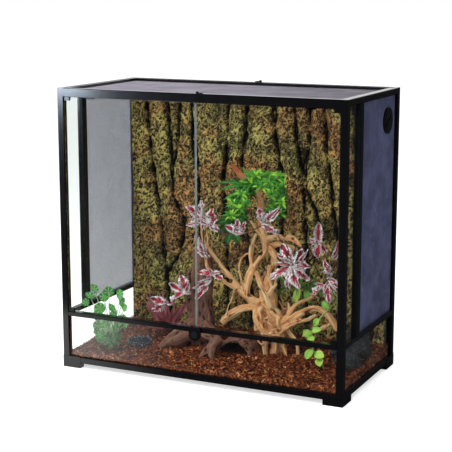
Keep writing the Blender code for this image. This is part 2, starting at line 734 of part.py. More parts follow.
def fused_object(name, solids, material):
    """One closed body from solids that run into each other."""
    target = solid_object(name, solids[0], material, uneven=True)
    rest = bmesh.new()
    for solid in solids[1:]:
        mesh = mesh_from_solid("piece", solid, uneven=True)
        rest.from_mesh(mesh)
        bpy.data.meshes.remove(mesh)
    joined = bpy.data.meshes.new("rest")
    rest.to_mesh(joined)
    rest.free()
    boolean(target, object_from_mesh("rest", joined, material), "UNION", overlapping=True)
    return target


def make_room(target, neighbours, gap=SEAT_GAP):
    """Cut the target back so that it keeps the gap to each neighbour."""
    for neighbour in neighbours:
        grown = bpy.data.meshes.new("room")
        shape = bmesh.new()
        shape.from_mesh(neighbour.data)
        bmesh.ops.triangulate(shape, faces=shape.faces)
        shape.normal_update()
        moves = [vertex.normal * gap * vertex.calc_shell_factor() for vertex in shape.verts]
        for vertex, move in zip(shape.verts, moves):
            vertex.co += move
        shape.to_mesh(grown)
        shape.free()
        boolean(target, object_from_mesh("room", grown, target.data.materials[0]), "DIFFERENCE")


def keep_largest_body(target):
    """Drop the snippets that a cut leaves behind, and keep the body with the most faces."""
    shape = bmesh.new()
    shape.from_mesh(target.data)
    waiting = set(shape.verts)
    bodies = []
    while waiting:
        body = {waiting.pop()}
        edge_of_body = list(body)
        while edge_of_body:
            vertex = edge_of_body.pop()
            for edge in vertex.link_edges:
                other = edge.other_vert(vertex)
                if other in waiting:
                    waiting.discard(other)
                    body.add(other)
                    edge_of_body.append(other)
        bodies.append(body)
    bodies.sort(key=len)
    snippets = [vertex for body in bodies[:-1] for vertex in body]
    bmesh.ops.delete(shape, geom=snippets, context="VERTS")
    shape.to_mesh(target.data)
    shape.free()


def bar_outline(low, high, grooves=()):
    """A chamfered rectangle with grooves. A groove is its side, its middle and its depth."""
    cuts = {side: (middle, depth) for side, middle, depth in grooves}
    outline = []
    u0, v0 = low
    u1, v1 = high
    outline.append((u0 + CHAMFER, v0))
    if "low_v" in cuts:
        middle, depth = cuts["low_v"]
        outline += [(middle - GROOVE_HALF, v0), (middle - GROOVE_HALF, v0 + depth)]
        outline += [(middle + GROOVE_HALF, v0 + depth), (middle + GROOVE_HALF, v0)]
    outline += [(u1 - CHAMFER, v0), (u1, v0 + CHAMFER)]
    if "high_u" in cuts:
        middle, depth = cuts["high_u"]
        outline += [(u1, middle - GROOVE_HALF), (u1 - depth, middle - GROOVE_HALF)]
        outline += [(u1 - depth, middle + GROOVE_HALF), (u1, middle + GROOVE_HALF)]
    outline += [(u1, v1 - CHAMFER), (u1 - CHAMFER, v1)]
    if "high_v" in cuts:
        middle, depth = cuts["high_v"]
        outline += [(middle + GROOVE_HALF, v1), (middle + GROOVE_HALF, v1 - depth)]
        outline += [(middle - GROOVE_HALF, v1 - depth), (middle - GROOVE_HALF, v1)]
    outline += [(u0 + CHAMFER, v1), (u0, v1 - CHAMFER)]
    if "low_u" in cuts:
        middle, depth = cuts["low_u"]
        outline += [(u0, middle + GROOVE_HALF), (u0 + depth, middle + GROOVE_HALF)]
        outline += [(u0 + depth, middle - GROOVE_HALF), (u0, middle - GROOVE_HALF)]
    outline.append((u0, v0 + CHAMFER))
    return outline


def mirrored(outline, flip_u=False, flip_v=False):
    return [(-u if flip_u else u, -v if flip_v else v) for u, v in outline]


def notched_outline(low, high, low_low=None, high_low=None, high_high=None, low_high=None):
    """A rectangle whose corners may each have a notch, given as its two sizes."""
    u0, v0 = low
    u1, v1 = high
    outline = []
    if low_low:
        outline += [(u0, v0 + low_low[1]), (u0 + low_low[0], v0 + low_low[1]), (u0 + low_low[0], v0)]
    else:
        outline.append((u0, v0))
    if high_low:
        outline += [(u1 - high_low[0], v0), (u1 - high_low[0], v0 + high_low[1]), (u1, v0 + high_low[1])]
    else:
        outline.append((u1, v0))
    if high_high:
        outline += [(u1, v1 - high_high[1]), (u1 - high_high[0], v1 - high_high[1]), (u1 - high_high[0], v1)]
    else:
        outline.append((u1, v1))
    if low_high:
        outline += [(u0 + low_high[0], v1), (u0 + low_high[0], v1 - low_high[1]), (u0, v1 - low_high[1])]
    else:
        outline.append((u0, v1))
    return outline


def make_feet(black):
    """L-shaped shoes, each mirrored to its corner."""
    outer_x = HALF_WIDTH + FOOT_PROUD
    outer_y = HALF_DEPTH + FOOT_PROUD
    outline = [
        (outer_x - CHAMFER, outer_y),
        (outer_x, outer_y - CHAMFER),
        (outer_x, FOOT_END_Y),
        (INNER_X, FOOT_END_Y),
        (INNER_X, INNER_Y),
        (FOOT_END_X, INNER_Y),
        (FOOT_END_X, outer_y),
    ]
    for front, flip_y in (("front", True), ("back", False)):
        for side, flip_x in (("left", True), ("right", False)):
            shape = prism(mirrored(outline, flip_x, flip_y), "z", 0.0, FOOT_HEIGHT)
            solid_object(f"foot_{front}_{side}", shape, black)


def make_base_rails(black):
    """Rails between the shoes, grooved for the panes above and for the floor pan."""
    pan_middle = FLOOR_HEIGHT + GLASS_THICKNESS / 2
    along_x = bar_outline(
        (INNER_Y, BASE_RAIL_BOTTOM),
        (HALF_DEPTH, BASE_RAIL_TOP),
        (("high_v", PANEL_Y, GROOVE_DEPTH), ("low_u", pan_middle, GROOVE_DEPTH)),
    )
    along_y = bar_outline(
        (INNER_X, BASE_RAIL_BOTTOM),
        (HALF_WIDTH, BASE_RAIL_TOP),
        (("high_v", PANEL_X, GROOVE_DEPTH), ("low_u", pan_middle, GROOVE_DEPTH)),
    )
    end_x = FOOT_END_X - CLEARANCE
    end_y = FOOT_END_Y - CLEARANCE
    solid_object("base_rail_front", prism(mirrored(along_x, True), "x", -end_x, end_x), black)
    solid_object("base_rail_back", prism(along_x, "x", -end_x, end_x), black)
    solid_object("base_rail_left", prism(mirrored(along_y, True), "y", -end_y, end_y), black)
    solid_object("base_rail_right", prism(along_y, "y", -end_y, end_y), black)


def make_posts(black):
    """Corner posts. All hold the side panels, and the back ones hold the back pane too."""
    side_groove = ("low_v", PANEL_X, GROOVE_DEPTH)
    back_groove = ("low_u", PANEL_Y, GROOVE_DEPTH)
    low, high = (INNER_X, INNER_Y), (HALF_WIDTH, HALF_DEPTH)
    front_outline = bar_outline(low, high, (side_groove,))
    back_outline = bar_outline(low, high, (side_groove, back_groove))
    bottom = FOOT_HEIGHT + CLEARANCE
    top = TOP_CAP_BOTTOM - CLEARANCE
    posts = []
    for side, flip_x in (("left", True), ("right", False)):
        front = prism(mirrored(front_outline, flip_x, True), "z", bottom, top)
        back = prism(mirrored(back_outline, flip_x, False), "z", bottom, top)
        posts.append(solid_object(f"post_front_{side}", front, black))
        posts.append(solid_object(f"post_back_{side}", back, black))
    return posts


def make_top_caps(black):
    """Connectors on the posts, cut away inside for the lid's corners."""
    outline = [
        (INNER_X, INNER_Y),
        (HALF_WIDTH, INNER_Y),
        (HALF_WIDTH, HALF_DEPTH - CHAMFER),
        (HALF_WIDTH - CHAMFER, HALF_DEPTH),
        (INNER_X, HALF_DEPTH),
    ]
    for front, y_sign in (("front", -1), ("back", 1)):
        for side, x_sign in (("left", -1), ("right", 1)):
            corner = prism(mirrored(outline, x_sign < 0, y_sign < 0), "z", TOP_CAP_BOTTOM, CASE_HEIGHT)
            cap = solid_object(f"top_cap_{front}_{side}", corner, black)
            xs = sorted((0.0, x_sign * (HALF_WIDTH - LID_WALL)))
            ys = sorted((0.0, y_sign * (HALF_DEPTH - LID_WALL)))
            carve(cap, box((xs[0], ys[0], LEDGE_TOP), (xs[1], ys[1], CASE_HEIGHT + LID_DROP)))


def ledge_outline(inner, outer, bottom, groove_middle):
    """A top rail's section: a wall, and inside it the ledge that carries the lid."""
    outline = [(inner, bottom)]
    if groove_middle is not None:
        low, high = groove_middle - GROOVE_HALF, groove_middle + GROOVE_HALF
        groove_top = bottom + GROOVE_DEPTH
        outline += [(low, bottom), (low, groove_top), (high, groove_top), (high, bottom)]
    outline += [(outer - CHAMFER, bottom), (outer, bottom + CHAMFER)]
    outline += [(outer, CASE_HEIGHT - CHAMFER), (outer - CHAMFER, CASE_HEIGHT)]
    outline += [(outer - LID_WALL, CASE_HEIGHT), (outer - LID_WALL, LEDGE_TOP), (inner, LEDGE_TOP)]
    return outline


def make_top_rails(black):
    end_x = INNER_X - CLEARANCE
    end_y = INNER_Y - CLEARANCE
    front_section = mirrored(ledge_outline(INNER_Y, HALF_DEPTH, TOP_FRONT_BOTTOM, None), True)
    back_section = ledge_outline(INNER_Y, HALF_DEPTH, TOP_SIDE_BOTTOM, PANEL_Y)
    side_section = ledge_outline(INNER_X, HALF_WIDTH, TOP_SIDE_BOTTOM, PANEL_X)
    front = solid_object("top_rail_front", prism(front_section, "x", -end_x, end_x), black)
    back = solid_object("top_rail_back", prism(back_section, "x", -end_x, end_x), black)
    solid_object("top_rail_left", prism(mirrored(side_section, True), "y", -end_y, end_y), black)
    solid_object("top_rail_right", prism(side_section, "y", -end_y, end_y), black)

    stop_front = DOOR_Y + GLASS_THICKNESS / 2 + STOP_DOOR_GAP
    for side in (-1, 1):
        middle = side * STOP_FROM_MIDDLE
        low = (middle - STOP_WIDTH / 2, stop_front, TOP_FRONT_BOTTOM - STOP_HEIGHT)
        high = (middle + STOP_WIDTH / 2, stop_front + STOP_DEPTH, TOP_FRONT_BOTTOM + STOP_HEIGHT)
        add(front, box(low, high))
        hole_top = TOP_FRONT_BOTTOM - CLIP_RAIL_GAP + PIVOT_PIN_LENGTH + 2 * CLEARANCE
        pivot = (side * PIVOT_X, DOOR_Y)
        hole = cylinder(pivot, PIVOT_HOLE_RADIUS, "z", TOP_FRONT_BOTTOM - CUT_MARGIN, hole_top, PIN_SIDES)
        carve(front, hole)
    hole_bottom = CASE_HEIGHT - LATCH_PIN_LENGTH
    hole_radius = LATCH_PIN_RADIUS + CLEARANCE
    for rail, hub in ((front, LATCH_FRONT_HUB), (back, LATCH_BACK_HUB)):
        carve(rail, cylinder(hub, hole_radius, "z", hole_bottom, CASE_HEIGHT + CUT_MARGIN, PIN_SIDES))


def make_middle_rails(black):
    """The sill under the doors and the side rails at its level."""
    end_x = INNER_X - CLEARANCE
    end_y = INNER_Y - CLEARANCE
    sill_section = bar_outline(
        (INNER_Y, SILL_BOTTOM), (HALF_DEPTH, SILL_TOP), (("low_v", PANEL_Y, GROOVE_DEPTH),)
    )
    sill = solid_object("sill_rail", prism(mirrored(sill_section, True), "x", -end_x, end_x), black)
    hole_bottom = SILL_TOP + CLIP_RAIL_GAP - PIVOT_PIN_LENGTH - 2 * CLEARANCE
    for side in (-1, 1):
        pivot = (side * PIVOT_X, DOOR_Y)
        carve(sill, cylinder(pivot, PIVOT_HOLE_RADIUS, "z", hole_bottom, SILL_TOP + CUT_MARGIN, PIN_SIDES))
    side_section = bar_outline(
        (INNER_X, SILL_BOTTOM),
        (HALF_WIDTH, SILL_TOP),
        (("low_v", PANEL_X, GROOVE_DEPTH), ("high_v", PANEL_X, GROOVE_DEPTH)),
    )
    solid_object("mid_rail_left", prism(mirrored(side_section, True), "y", -end_y, end_y), black)
    solid_object("mid_rail_right", prism(side_section, "y", -end_y, end_y), black)

    mullion_section = bar_outline(
        (INNER_X, MULLION_FRONT_Y),
        (HALF_WIDTH, MULLION_BACK_Y),
        (("low_v", PANEL_X, GROOVE_DEPTH), ("high_v", PANEL_X, GROOVE_DEPTH)),
    )
    bottom = SILL_TOP + CLEARANCE
    top = TOP_SIDE_BOTTOM - CLEARANCE
    solid_object("mullion_left", prism(mirrored(mullion_section, True), "z", bottom, top), black)
    solid_object("mullion_right", prism(mullion_section, "z", bottom, top), black)


def make_panes(glass):
    """Floor pan and fixed panes, notched where the shoes and top connectors are."""
    bottom = BASE_RAIL_TOP - GROOVE_DEPTH + CLEARANCE
    over_foot = FOOT_HEIGHT + CLEARANCE - bottom
    sill_seat = SILL_BOTTOM + GROOVE_DEPTH - CLEARANCE
    top_seat = TOP_SIDE_BOTTOM + GROOVE_DEPTH - CLEARANCE
    under_cap = top_seat - (TOP_CAP_BOTTOM - CLEARANCE)
    inner_x = INNER_X - CLEARANCE
    inner_y = INNER_Y - CLEARANCE
    foot_x = FOOT_END_X - CLEARANCE
    foot_y = FOOT_END_Y - CLEARANCE
    half = GLASS_THICKNESS / 2

    quarter = [(foot_x, SEAT_Y), (foot_x, inner_y), (inner_x, inner_y), (inner_x, foot_y), (SEAT_X, foot_y)]
    pan = list(reversed(quarter))
    pan += mirrored(quarter, True)
    pan += mirrored(list(reversed(quarter)), True, True)
    pan += mirrored(quarter, False, True)
    solid_object("floor_pan", prism(pan, "z", FLOOR_HEIGHT, FLOOR_HEIGHT + GLASS_THICKNESS), glass)

    notch = (inner_x - foot_x, over_foot)
    front = notched_outline((-inner_x, bottom), (inner_x, sill_seat), low_low=notch, high_low=notch)
    solid_object("lower_glass_front", prism(front, "y", -PANEL_Y - half, -PANEL_Y + half), glass)

    low_notch = (SEAT_X - foot_x, over_foot)
    high_notch = (SEAT_X - inner_x, under_cap)
    back = notched_outline(
        (-SEAT_X, bottom), (SEAT_X, top_seat),
        low_low=low_notch, high_low=low_notch, high_high=high_notch, low_high=high_notch,
    )
    solid_object("back_glass", prism(back, "y", PANEL_Y - half, PANEL_Y + half), glass)

    notch = (SEAT_Y - foot_y, over_foot)
    lower = notched_outline((-SEAT_Y, bottom), (SEAT_Y, sill_seat), low_low=notch, high_low=notch)
    strip_low = (-SEAT_Y, SILL_TOP - GROOVE_DEPTH + CLEARANCE)
    strip_high = (MULLION_FRONT_Y + GROOVE_DEPTH - CLEARANCE, top_seat)
    strip = notched_outline(strip_low, strip_high, low_high=(SEAT_Y - inner_y, under_cap))
    for side, x in (("left", -PANEL_X), ("right", PANEL_X)):
        solid_object(f"lower_glass_{side}", prism(lower, "x", x - half, x + half), glass)
        solid_object(f"strip_glass_{side}", prism(strip, "x", x - half, x + half), glass)


def make_side_meshes(mesh_metal):
    """Mesh panels with a rim that sits in the grooves. The right one is pierced for the port."""
    top_seat = TOP_SIDE_BOTTOM + GROOVE_DEPTH - CLEARANCE
    low = (MULLION_BACK_Y - GROOVE_DEPTH + CLEARANCE, SILL_TOP - GROOVE_DEPTH + CLEARANCE)
    high = (SEAT_Y, top_seat)
    notch = (SEAT_Y - INNER_Y + CLEARANCE, top_seat - (TOP_CAP_BOTTOM - CLEARANCE))
    outline = notched_outline(low, high, high_high=notch)
    window_low = (low[0] + MESH_RIM, low[1] + MESH_RIM)
    window_high = (high[0] - notch[0] - MESH_RIM, high[1] - notch[1] - MESH_RIM)
    window = notched_outline(window_low, window_high)
    for side, x in (("left", -PANEL_X), ("right", PANEL_X)):
        half = GLASS_THICKNESS / 2
        panel = solid_object(f"side_mesh_{side}", prism(outline, "x", x - half, x + half), mesh_metal)
        if side == "right":
            radius = PORT_COLLAR_RADIUS + CLEARANCE
            hole = cylinder(PORT_CENTRE, radius, "x", x - CUT_MARGIN, x + CUT_MARGIN, RING_SIDES)
            carve(panel, hole)
        for face in (-1, 1):
            ends = sorted((x + face * MESH_THICKNESS / 2, x + face * GLASS_THICKNESS))
            carve(panel, prism(window, "x", *ends))


def make_port(black):
    """A flanged ring through the mesh, and the cover that twists in it."""
    face = PANEL_X + MESH_THICKNESS / 2 + CLEARANCE
    back = PANEL_X - PORT_COLLAR_DEPTH
    front = face + PORT_FLANGE_THICKNESS
    flange = cylinder(PORT_CENTRE, PORT_FLANGE_RADIUS, "x", face, front, FLANGE_SIDES)
    ring = solid_object("port_ring", flange, black)
    collar_front = face + PORT_FLANGE_THICKNESS / 2
    add(ring, cylinder(PORT_CENTRE, PORT_COLLAR_RADIUS, "x", back, collar_front, RING_SIDES))
    bore_ends = (back - CUT_MARGIN, front + CUT_MARGIN)
    carve(ring, cylinder(PORT_CENTRE, PORT_BORE_RADIUS, "x", *bore_ends, RING_SIDES))

    cover_face = front + PORT_COVER_PROUD
    disc = cylinder(PORT_CENTRE, PORT_BORE_RADIUS - CLEARANCE, "x", back, cover_face, RING_SIDES)
    cover = solid_object("port_cover", disc, black)
    half_length = PORT_GRIP_LENGTH / 2
    half_width = PORT_GRIP_WIDTH / 2
    along = Vector((math.cos(PORT_GRIP_ANGLE), math.sin(PORT_GRIP_ANGLE)))
    across = Vector((-along.y, along.x))
    outline = []
    for u, v in ((-1, -1), (1, -1), (1, 1), (-1, 1)):
        corner = Vector(PORT_CENTRE) + along * half_length * u + across * half_width * v
        outline.append((corner.x, corner.y))
    add(cover, prism(outline, "x", cover_face - WELD, cover_face + PORT_GRIP_HEIGHT))
    return ring, cover


def make_clip(side, sign, level, black):
    """A clip over a door's edge, with the pin that turns in the rail."""
    slot = GLASS_THICKNESS / 2 + CLEARANCE
    wall = slot + CLIP_WALL
    xs = sorted((sign * (PIVOT_X + CLIP_BEHIND_PIN), sign * (PIVOT_X - CLIP_AHEAD_OF_PIN)))
    if level == "bottom":
        rail_face, glass_edge, up = SILL_TOP, DOOR_BOTTOM, 1
    else:
        rail_face, glass_edge, up = TOP_FRONT_BOTTOM, DOOR_TOP, -1
    base = rail_face + up * CLIP_RAIL_GAP
    far = base + up * CLIP_HEIGHT
    zs = sorted((base, far))
    body = box((xs[0], DOOR_Y - wall, zs[0]), (xs[1], DOOR_Y + wall, zs[1]))
    clip = solid_object(f"door_pivot_{level}_{side}", body, black)

    zs = sorted((glass_edge - up * CLEARANCE, far + up * CUT_MARGIN))
    low = (xs[0] - CUT_MARGIN, DOOR_Y - slot, zs[0])
    high = (xs[1] + CUT_MARGIN, DOOR_Y + slot, zs[1])
    carve(clip, box(low, high))
    pin = sorted((base - up * PIVOT_PIN_LENGTH, base + up * WELD))
    add(clip, cylinder((sign * PIVOT_X, DOOR_Y), PIVOT_PIN_RADIUS, "z", pin[0], pin[1], PIN_SIDES))
    return clip


def make_doors(glass, black):
    """Frameless panes, each held at its outer corners by two clips, and hung from the pins' axis."""
    half = GLASS_THICKNESS / 2
    outer = INNER_X - DOOR_POST_GAP
    for side, sign in (("left", -1), ("right", 1)):
        xs = sorted((sign * DOOR_GAP / 2, sign * outer))
        pane = box((xs[0], DOOR_Y - half, DOOR_BOTTOM), (xs[1], DOOR_Y + half, DOOR_TOP))
        pieces = [solid_object(f"door_glass_{side}", pane, glass)]
        for level in ("bottom", "top"):
            pieces.append(make_clip(side, sign, level, black))
        hang_from(f"door_{side}_axis", (sign * PIVOT_X, DOOR_Y, SILL_TOP), pieces)


def make_lock_housing(black):
    """A shell on the sill, open at the top for the bolt and bored for the barrel."""
    outline = [(LOCK_HALF_WIDTH, LOCK_TOP), (-LOCK_HALF_WIDTH, LOCK_TOP)]
    for step in range(LOCK_ARC_STEPS + 1):
        angle = math.pi + math.pi * step / LOCK_ARC_STEPS
        drop = LOCK_HALF_WIDTH * math.sin(angle)
        outline.append((LOCK_HALF_WIDTH * math.cos(angle), LOCK_AXIS_HEIGHT + drop))
    housing = solid_object("lock_housing", prism(outline, "y", LOCK_FRONT, LOCK_BACK), black)
    half = BOLT_HALF_WIDTH + BOLT_PLAY
    low = (-half, BOLT_FRONT - CLEARANCE, BOLT_BOTTOM - CLEARANCE)
    carve(housing, box(low, (half, LOCK_BACK + CUT_MARGIN, LOCK_TOP + CUT_MARGIN)))
    front, back = LOCK_FRONT - CUT_MARGIN, LOCK_BACK + CUT_MARGIN
    barrel_hole = BARREL_RADIUS + CLEARANCE
    carve(housing, cylinder((0.0, LOCK_AXIS_HEIGHT), barrel_hole, "y", front, back, KNOB_SIDES))
    return housing


def make_bolt(steel):
    """A plate that rises in front of both doors, with a hook over the sill and a slot for the cam pin."""
    hook_top = LOCK_TOP - BOLT_PLAY
    hook_back = DOOR_Y - GLASS_THICKNESS / 2 - BOLT_PLAY
    half = BOLT_HALF_WIDTH
    bolt = solid_object("lock_bolt", box((-half, BOLT_FRONT, BOLT_BOTTOM), (half, BOLT_BACK, hook_top)), steel)
    add(bolt, box((-half, BOLT_FRONT, hook_top - BOLT_HOOK_THICKNESS), (half, hook_back, hook_top)))
    reach = CAM_PIN_RADIUS + BOLT_PLAY
    low = (CAM_PIN_SIDE - reach, BOLT_FRONT - CUT_MARGIN, CAM_PIN_HEIGHT - reach)
    high = (CAM_RADIUS + reach, BOLT_BACK + WELD, CAM_PIN_HEIGHT + reach)
    carve(bolt, box(low, high))
    set_origin(bolt, (0.0, BOLT_BACK, LOCK_AXIS_HEIGHT))


def make_lock_cylinder(steel):
    """Knob, barrel and cam pin, with the key slot in the knob's face."""
    axis = (0.0, LOCK_AXIS_HEIGHT)
    knob_back = LOCK_FRONT - CLEARANCE
    knob_front = knob_back - KNOB_THICKNESS
    barrel_end = BOLT_FRONT - CLEARANCE
    head = cylinder(axis, KNOB_RADIUS, "y", knob_front, knob_back, RING_SIDES)
    knob = solid_object("lock_cylinder", head, steel)
    add(knob, cylinder(axis, BARREL_RADIUS, "y", knob_back - WELD, barrel_end, KNOB_SIDES))
    cam_pin = (CAM_PIN_SIDE, CAM_PIN_HEIGHT)
    add(knob, cylinder(cam_pin, CAM_PIN_RADIUS, "y", barrel_end - WELD, BOLT_BACK, PIN_SIDES))
    low = (-KEY_SLOT_WIDTH / 2, knob_front - CUT_MARGIN, LOCK_AXIS_HEIGHT - KEY_SLOT_LENGTH / 2)
    high = (KEY_SLOT_WIDTH / 2, knob_front + KEY_SLOT_DEPTH, LOCK_AXIS_HEIGHT + KEY_SLOT_LENGTH / 2)
    carve(knob, box(low, high))
    set_origin(knob, (0.0, knob_back, LOCK_AXIS_HEIGHT))
    return knob


def make_lid(black, mesh_metal):
    """A frame that drops onto the rails' ledge, with the mesh in its groove."""
    outer_x = HALF_WIDTH - LID_WALL - LID_PLAY
    outer_y = HALF_DEPTH - LID_WALL - LID_PLAY
    bottom = LEDGE_TOP + CLEARANCE
    top = bottom + LID_FRAME_HEIGHT
    inner_x = outer_x - LID_FRAME_WIDTH
    inner_y = outer_y - LID_FRAME_WIDTH
    frame = solid_object("lid_frame", box((-outer_x, -outer_y, bottom), (outer_x, outer_y, top)), black)
    carve(frame, box((-inner_x, -inner_y, bottom - CUT_MARGIN), (inner_x, inner_y, top + CUT_MARGIN)))
    mesh_top = top - LID_MESH_RECESS
    mesh_bottom = mesh_top - MESH_THICKNESS
    groove_x = inner_x + LID_GROOVE_DEPTH
    groove_y = inner_y + LID_GROOVE_DEPTH
    groove_low = (-groove_x, -groove_y, mesh_bottom - CLEARANCE)
    groove_high = (groove_x, groove_y, mesh_top + CLEARANCE)
    carve(frame, box(groove_low, groove_high))
    low = (-groove_x + CLEARANCE, -groove_y + CLEARANCE, mesh_bottom)
    high = (groove_x - CLEARANCE, groove_y - CLEARANCE, mesh_top)
    screen = solid_object("lid_mesh", box(low, high), mesh_metal)
    hang_from("lid_axis", (0.0, 0.0, bottom), [frame, screen])


def make_latch(name, hub, toward, black):
    """A turn button with its knob and pin, drawn lying along the rail, clear of the lid."""
    base = CASE_HEIGHT + CLEARANCE
    half = LATCH_WIDTH / 2
    outline = []
    for step in range(LATCH_ARC_STEPS + 1):
        angle = math.pi / 2 + math.pi * step / LATCH_ARC_STEPS
        outline.append((hub[0] + toward * half * math.cos(angle), hub[1] + toward * half * math.sin(angle)))
    tip = hub[0] + toward * (LATCH_LENGTH - half)
    outline += [(tip, hub[1] - toward * half), (tip, hub[1] + toward * half)]
    button = solid_object(name, prism(outline, "z", base, base + LATCH_THICKNESS), black)
    knob_top = base + LATCH_THICKNESS + LATCH_KNOB_HEIGHT
    add(button, cylinder(hub, LATCH_KNOB_RADIUS, "z", base + WELD, knob_top, KNOB_SIDES))
    pin_bottom = CASE_HEIGHT - LATCH_PIN_LENGTH + CLEARANCE
    add(button, cylinder(hub, LATCH_PIN_RADIUS, "z", pin_bottom, base + WELD, PIN_SIDES))
    set_origin(button, (*hub, base))
    return button


def distance_to_fissure(x, z):
    """How far a point of the background is from the nearest fissure."""
    here = Vector((x * LAYOUT_HALF_WIDTH / INNER_X, z * LAYOUT_HEIGHT / LEDGE_TOP))
    nearest = 1.0
    for line in BARK_FISSURES:
        for start, end in zip(line, line[1:]):
            first, second = Vector(start), Vector(end)
            run = second - first
            share = max(0.0, min(1.0, (here - first).dot(run) / run.length_squared))
            nearest = min(nearest, (here - first - run * share).length)
    return nearest


def bark_relief(x, z):
    """How far the bark stands out of its board: rounded plates with fissures between them."""
    share = min(1.0, distance_to_fissure(x, z) / BARK_FISSURE_REACH)
    plate = 1.0 - (1.0 - share) ** 2
    swell = 0.75 + 0.35 * noise.noise(Vector((x * 9.0, 3.0, z * 5.0)))
    return BARK_RELIEF * plate * min(1.0, swell)


def relief_solid(us, vs, height, back, place):
    """A closed block whose front follows height(u, v) and whose back is flat."""
    points = [place(u, v, height(u, v)) for v in vs for u in us]
    points += [place(u, v, back) for v in vs for u in us]
    columns, rows = len(us), len(vs)
    total = columns * rows
    faces = []
    for row in range(rows - 1):
        for column in range(columns - 1):
            first = row * columns + column
            faces.append((first, first + 1, first + columns + 1, first + columns))
    rim = [column for column in range(columns)]
    rim += [row * columns + columns - 1 for row in range(1, rows)]
    rim += [(rows - 1) * columns + column for column in range(columns - 2, -1, -1)]
    rim += [row * columns for row in range(rows - 2, 0, -1)]
    for first, second in zip(rim, rim[1:] + rim[:1]):
        faces.append((first, second, total + second, total + first))
    faces.append(tuple(total + index for index in rim))
    used = sorted({index for face in faces for index in face})
    order = {index: spot for spot, index in enumerate(used)}
    return [points[index] for index in used], [tuple(order[index] for index in face) for face in faces]


def spread(low, high, steps):
    return [low + (high - low) * step / steps for step in range(steps + 1)]


def make_background(bark):
    """A moulded bark board that stands against the back pane, between the back posts."""
    half_width = INNER_X - CLEARANCE
    bottom = FOOT_HEIGHT + SEAT_GAP
    top = TOP_SIDE_BOTTOM - CLEARANCE
    back = PANEL_Y - GLASS_THICKNESS / 2 - SEAT_GAP
    flat_front = back - BARK_EDGE_THICKNESS
    block = relief_solid(
        spread(-half_width, half_width, BARK_COLUMNS),
        spread(bottom, top, BARK_ROWS),
        lambda x, z: flat_front - bark_relief(x, z),
        back,
        lambda x, z, y: (x, y, z),
    )
    return solid_object("bark_background", block, bark, uneven=True)


def substrate_height(x, y):
    back_share = (y + HALF_DEPTH) / CASE_DEPTH
    right_share = (x + HALF_WIDTH) / CASE_WIDTH
    bump = SUBSTRATE_BUMP * noise.noise(Vector((x * 11.0, y * 11.0, 0.7)))
    rise = SUBSTRATE_BACK_RISE * back_share + SUBSTRATE_RIGHT_RISE * right_share
    return SUBSTRATE_FRONT_HEIGHT + rise + bump


def make_substrate(earth, neighbours):
    """Loose bark chips, as one block that fills the tray under the panes."""
    reach_x = PANEL_X - GLASS_THICKNESS / 2 - CLEARANCE
    reach_y = PANEL_Y - GLASS_THICKNESS / 2 - CLEARANCE
    upper = relief_solid(
        spread(-reach_x, reach_x, SUBSTRATE_COLUMNS),
        spread(-reach_y, INNER_Y - CLEARANCE, SUBSTRATE_ROWS),
        substrate_height,
        FOOT_HEIGHT + SEAT_GAP,
        lambda x, y, z: (x, y, z),
    )
    block = solid_object("substrate", upper, earth, uneven=True)
    low = (-INNER_X + CLEARANCE, -INNER_Y + CLEARANCE, SUBSTRATE_FLOOR)
    high = (INNER_X - CLEARANCE, INNER_Y - CLEARANCE, FOOT_HEIGHT + 2 * SEAT_GAP)
    add(block, box(low, high))
    make_room(block, neighbours)
    keep_largest_body(block)
    return block


def make_dish(stoneware):
    """A round bowl sunk a little into the substrate."""
    x, y = laid_out((*DISH_PLACE, 0.0))[:2]
    bottom = substrate_height(x, y) - DISH_SUNK
    top = bottom + DISH_HEIGHT
    dish = solid_object("water_dish", cylinder((x, y), DISH_RADIUS, "z", bottom, top, RING_SIDES), stoneware)
    hollow_radius = DISH_RADIUS - DISH_WALL
    carve(dish, cylinder((x, y), hollow_radius, "z", bottom + DISH_WALL, top + CUT_MARGIN, RING_SIDES))
    return dish


def tube(run, sides):
    """A closed tube along points that each carry a radius."""
    places = [Vector(point[:3]) for point in run]
    radii = [point[3] for point in run]
    side = None
    points = []
    for index, place in enumerate(places):
        before = places[max(index - 1, 0)]
        after = places[min(index + 1, len(places) - 1)]
        ahead = (after - before).normalized()
        if side is None:
            side = ahead.orthogonal().normalized()
        side = (side - ahead * side.dot(ahead)).normalized()
        other = ahead.cross(side)
        for step in range(sides):
            angle = 2 * math.pi * step / sides
            points.append(place + (side * math.cos(angle) + other * math.sin(angle)) * radii[index])
    faces = [tuple(range(sides)), tuple(range(len(points) - sides, len(points)))]
    for ring in range(len(places) - 1):
        for step in range(sides):
            after = (step + 1) % sides
            start = ring * sides
            faces.append((start + step, start + after, start + sides + after, start + sides + step))
    return points, faces


def leaf(base, tip, width, shares=LEAF_POINTED, facing=LEAF_FACING):
    """A thin leaf from its base to its tip, thickest in its middle."""
    base, tip = Vector(base), Vector(tip)
    along = tip - base
    across = along.cross(Vector(facing)).normalized()
    up = across.cross(along).normalized()
    points = [base]
    points += [base + along * far + across * width / 2 * wide for far, wide in shares]
    points.append(tip)
    points += [base + along * far - across * width / 2 * wide for far, wide in reversed(shares)]
    rim = len(points)
    middle = base + along * 0.5
    points += [middle + up * LEAF_THICKNESS / 2, middle - up * LEAF_THICKNESS / 2]
    faces = []
    for index in range(rim):
        after = (index + 1) % rim
        faces += [(index, after, rim), (after, index, rim + 1)]
    return points, faces


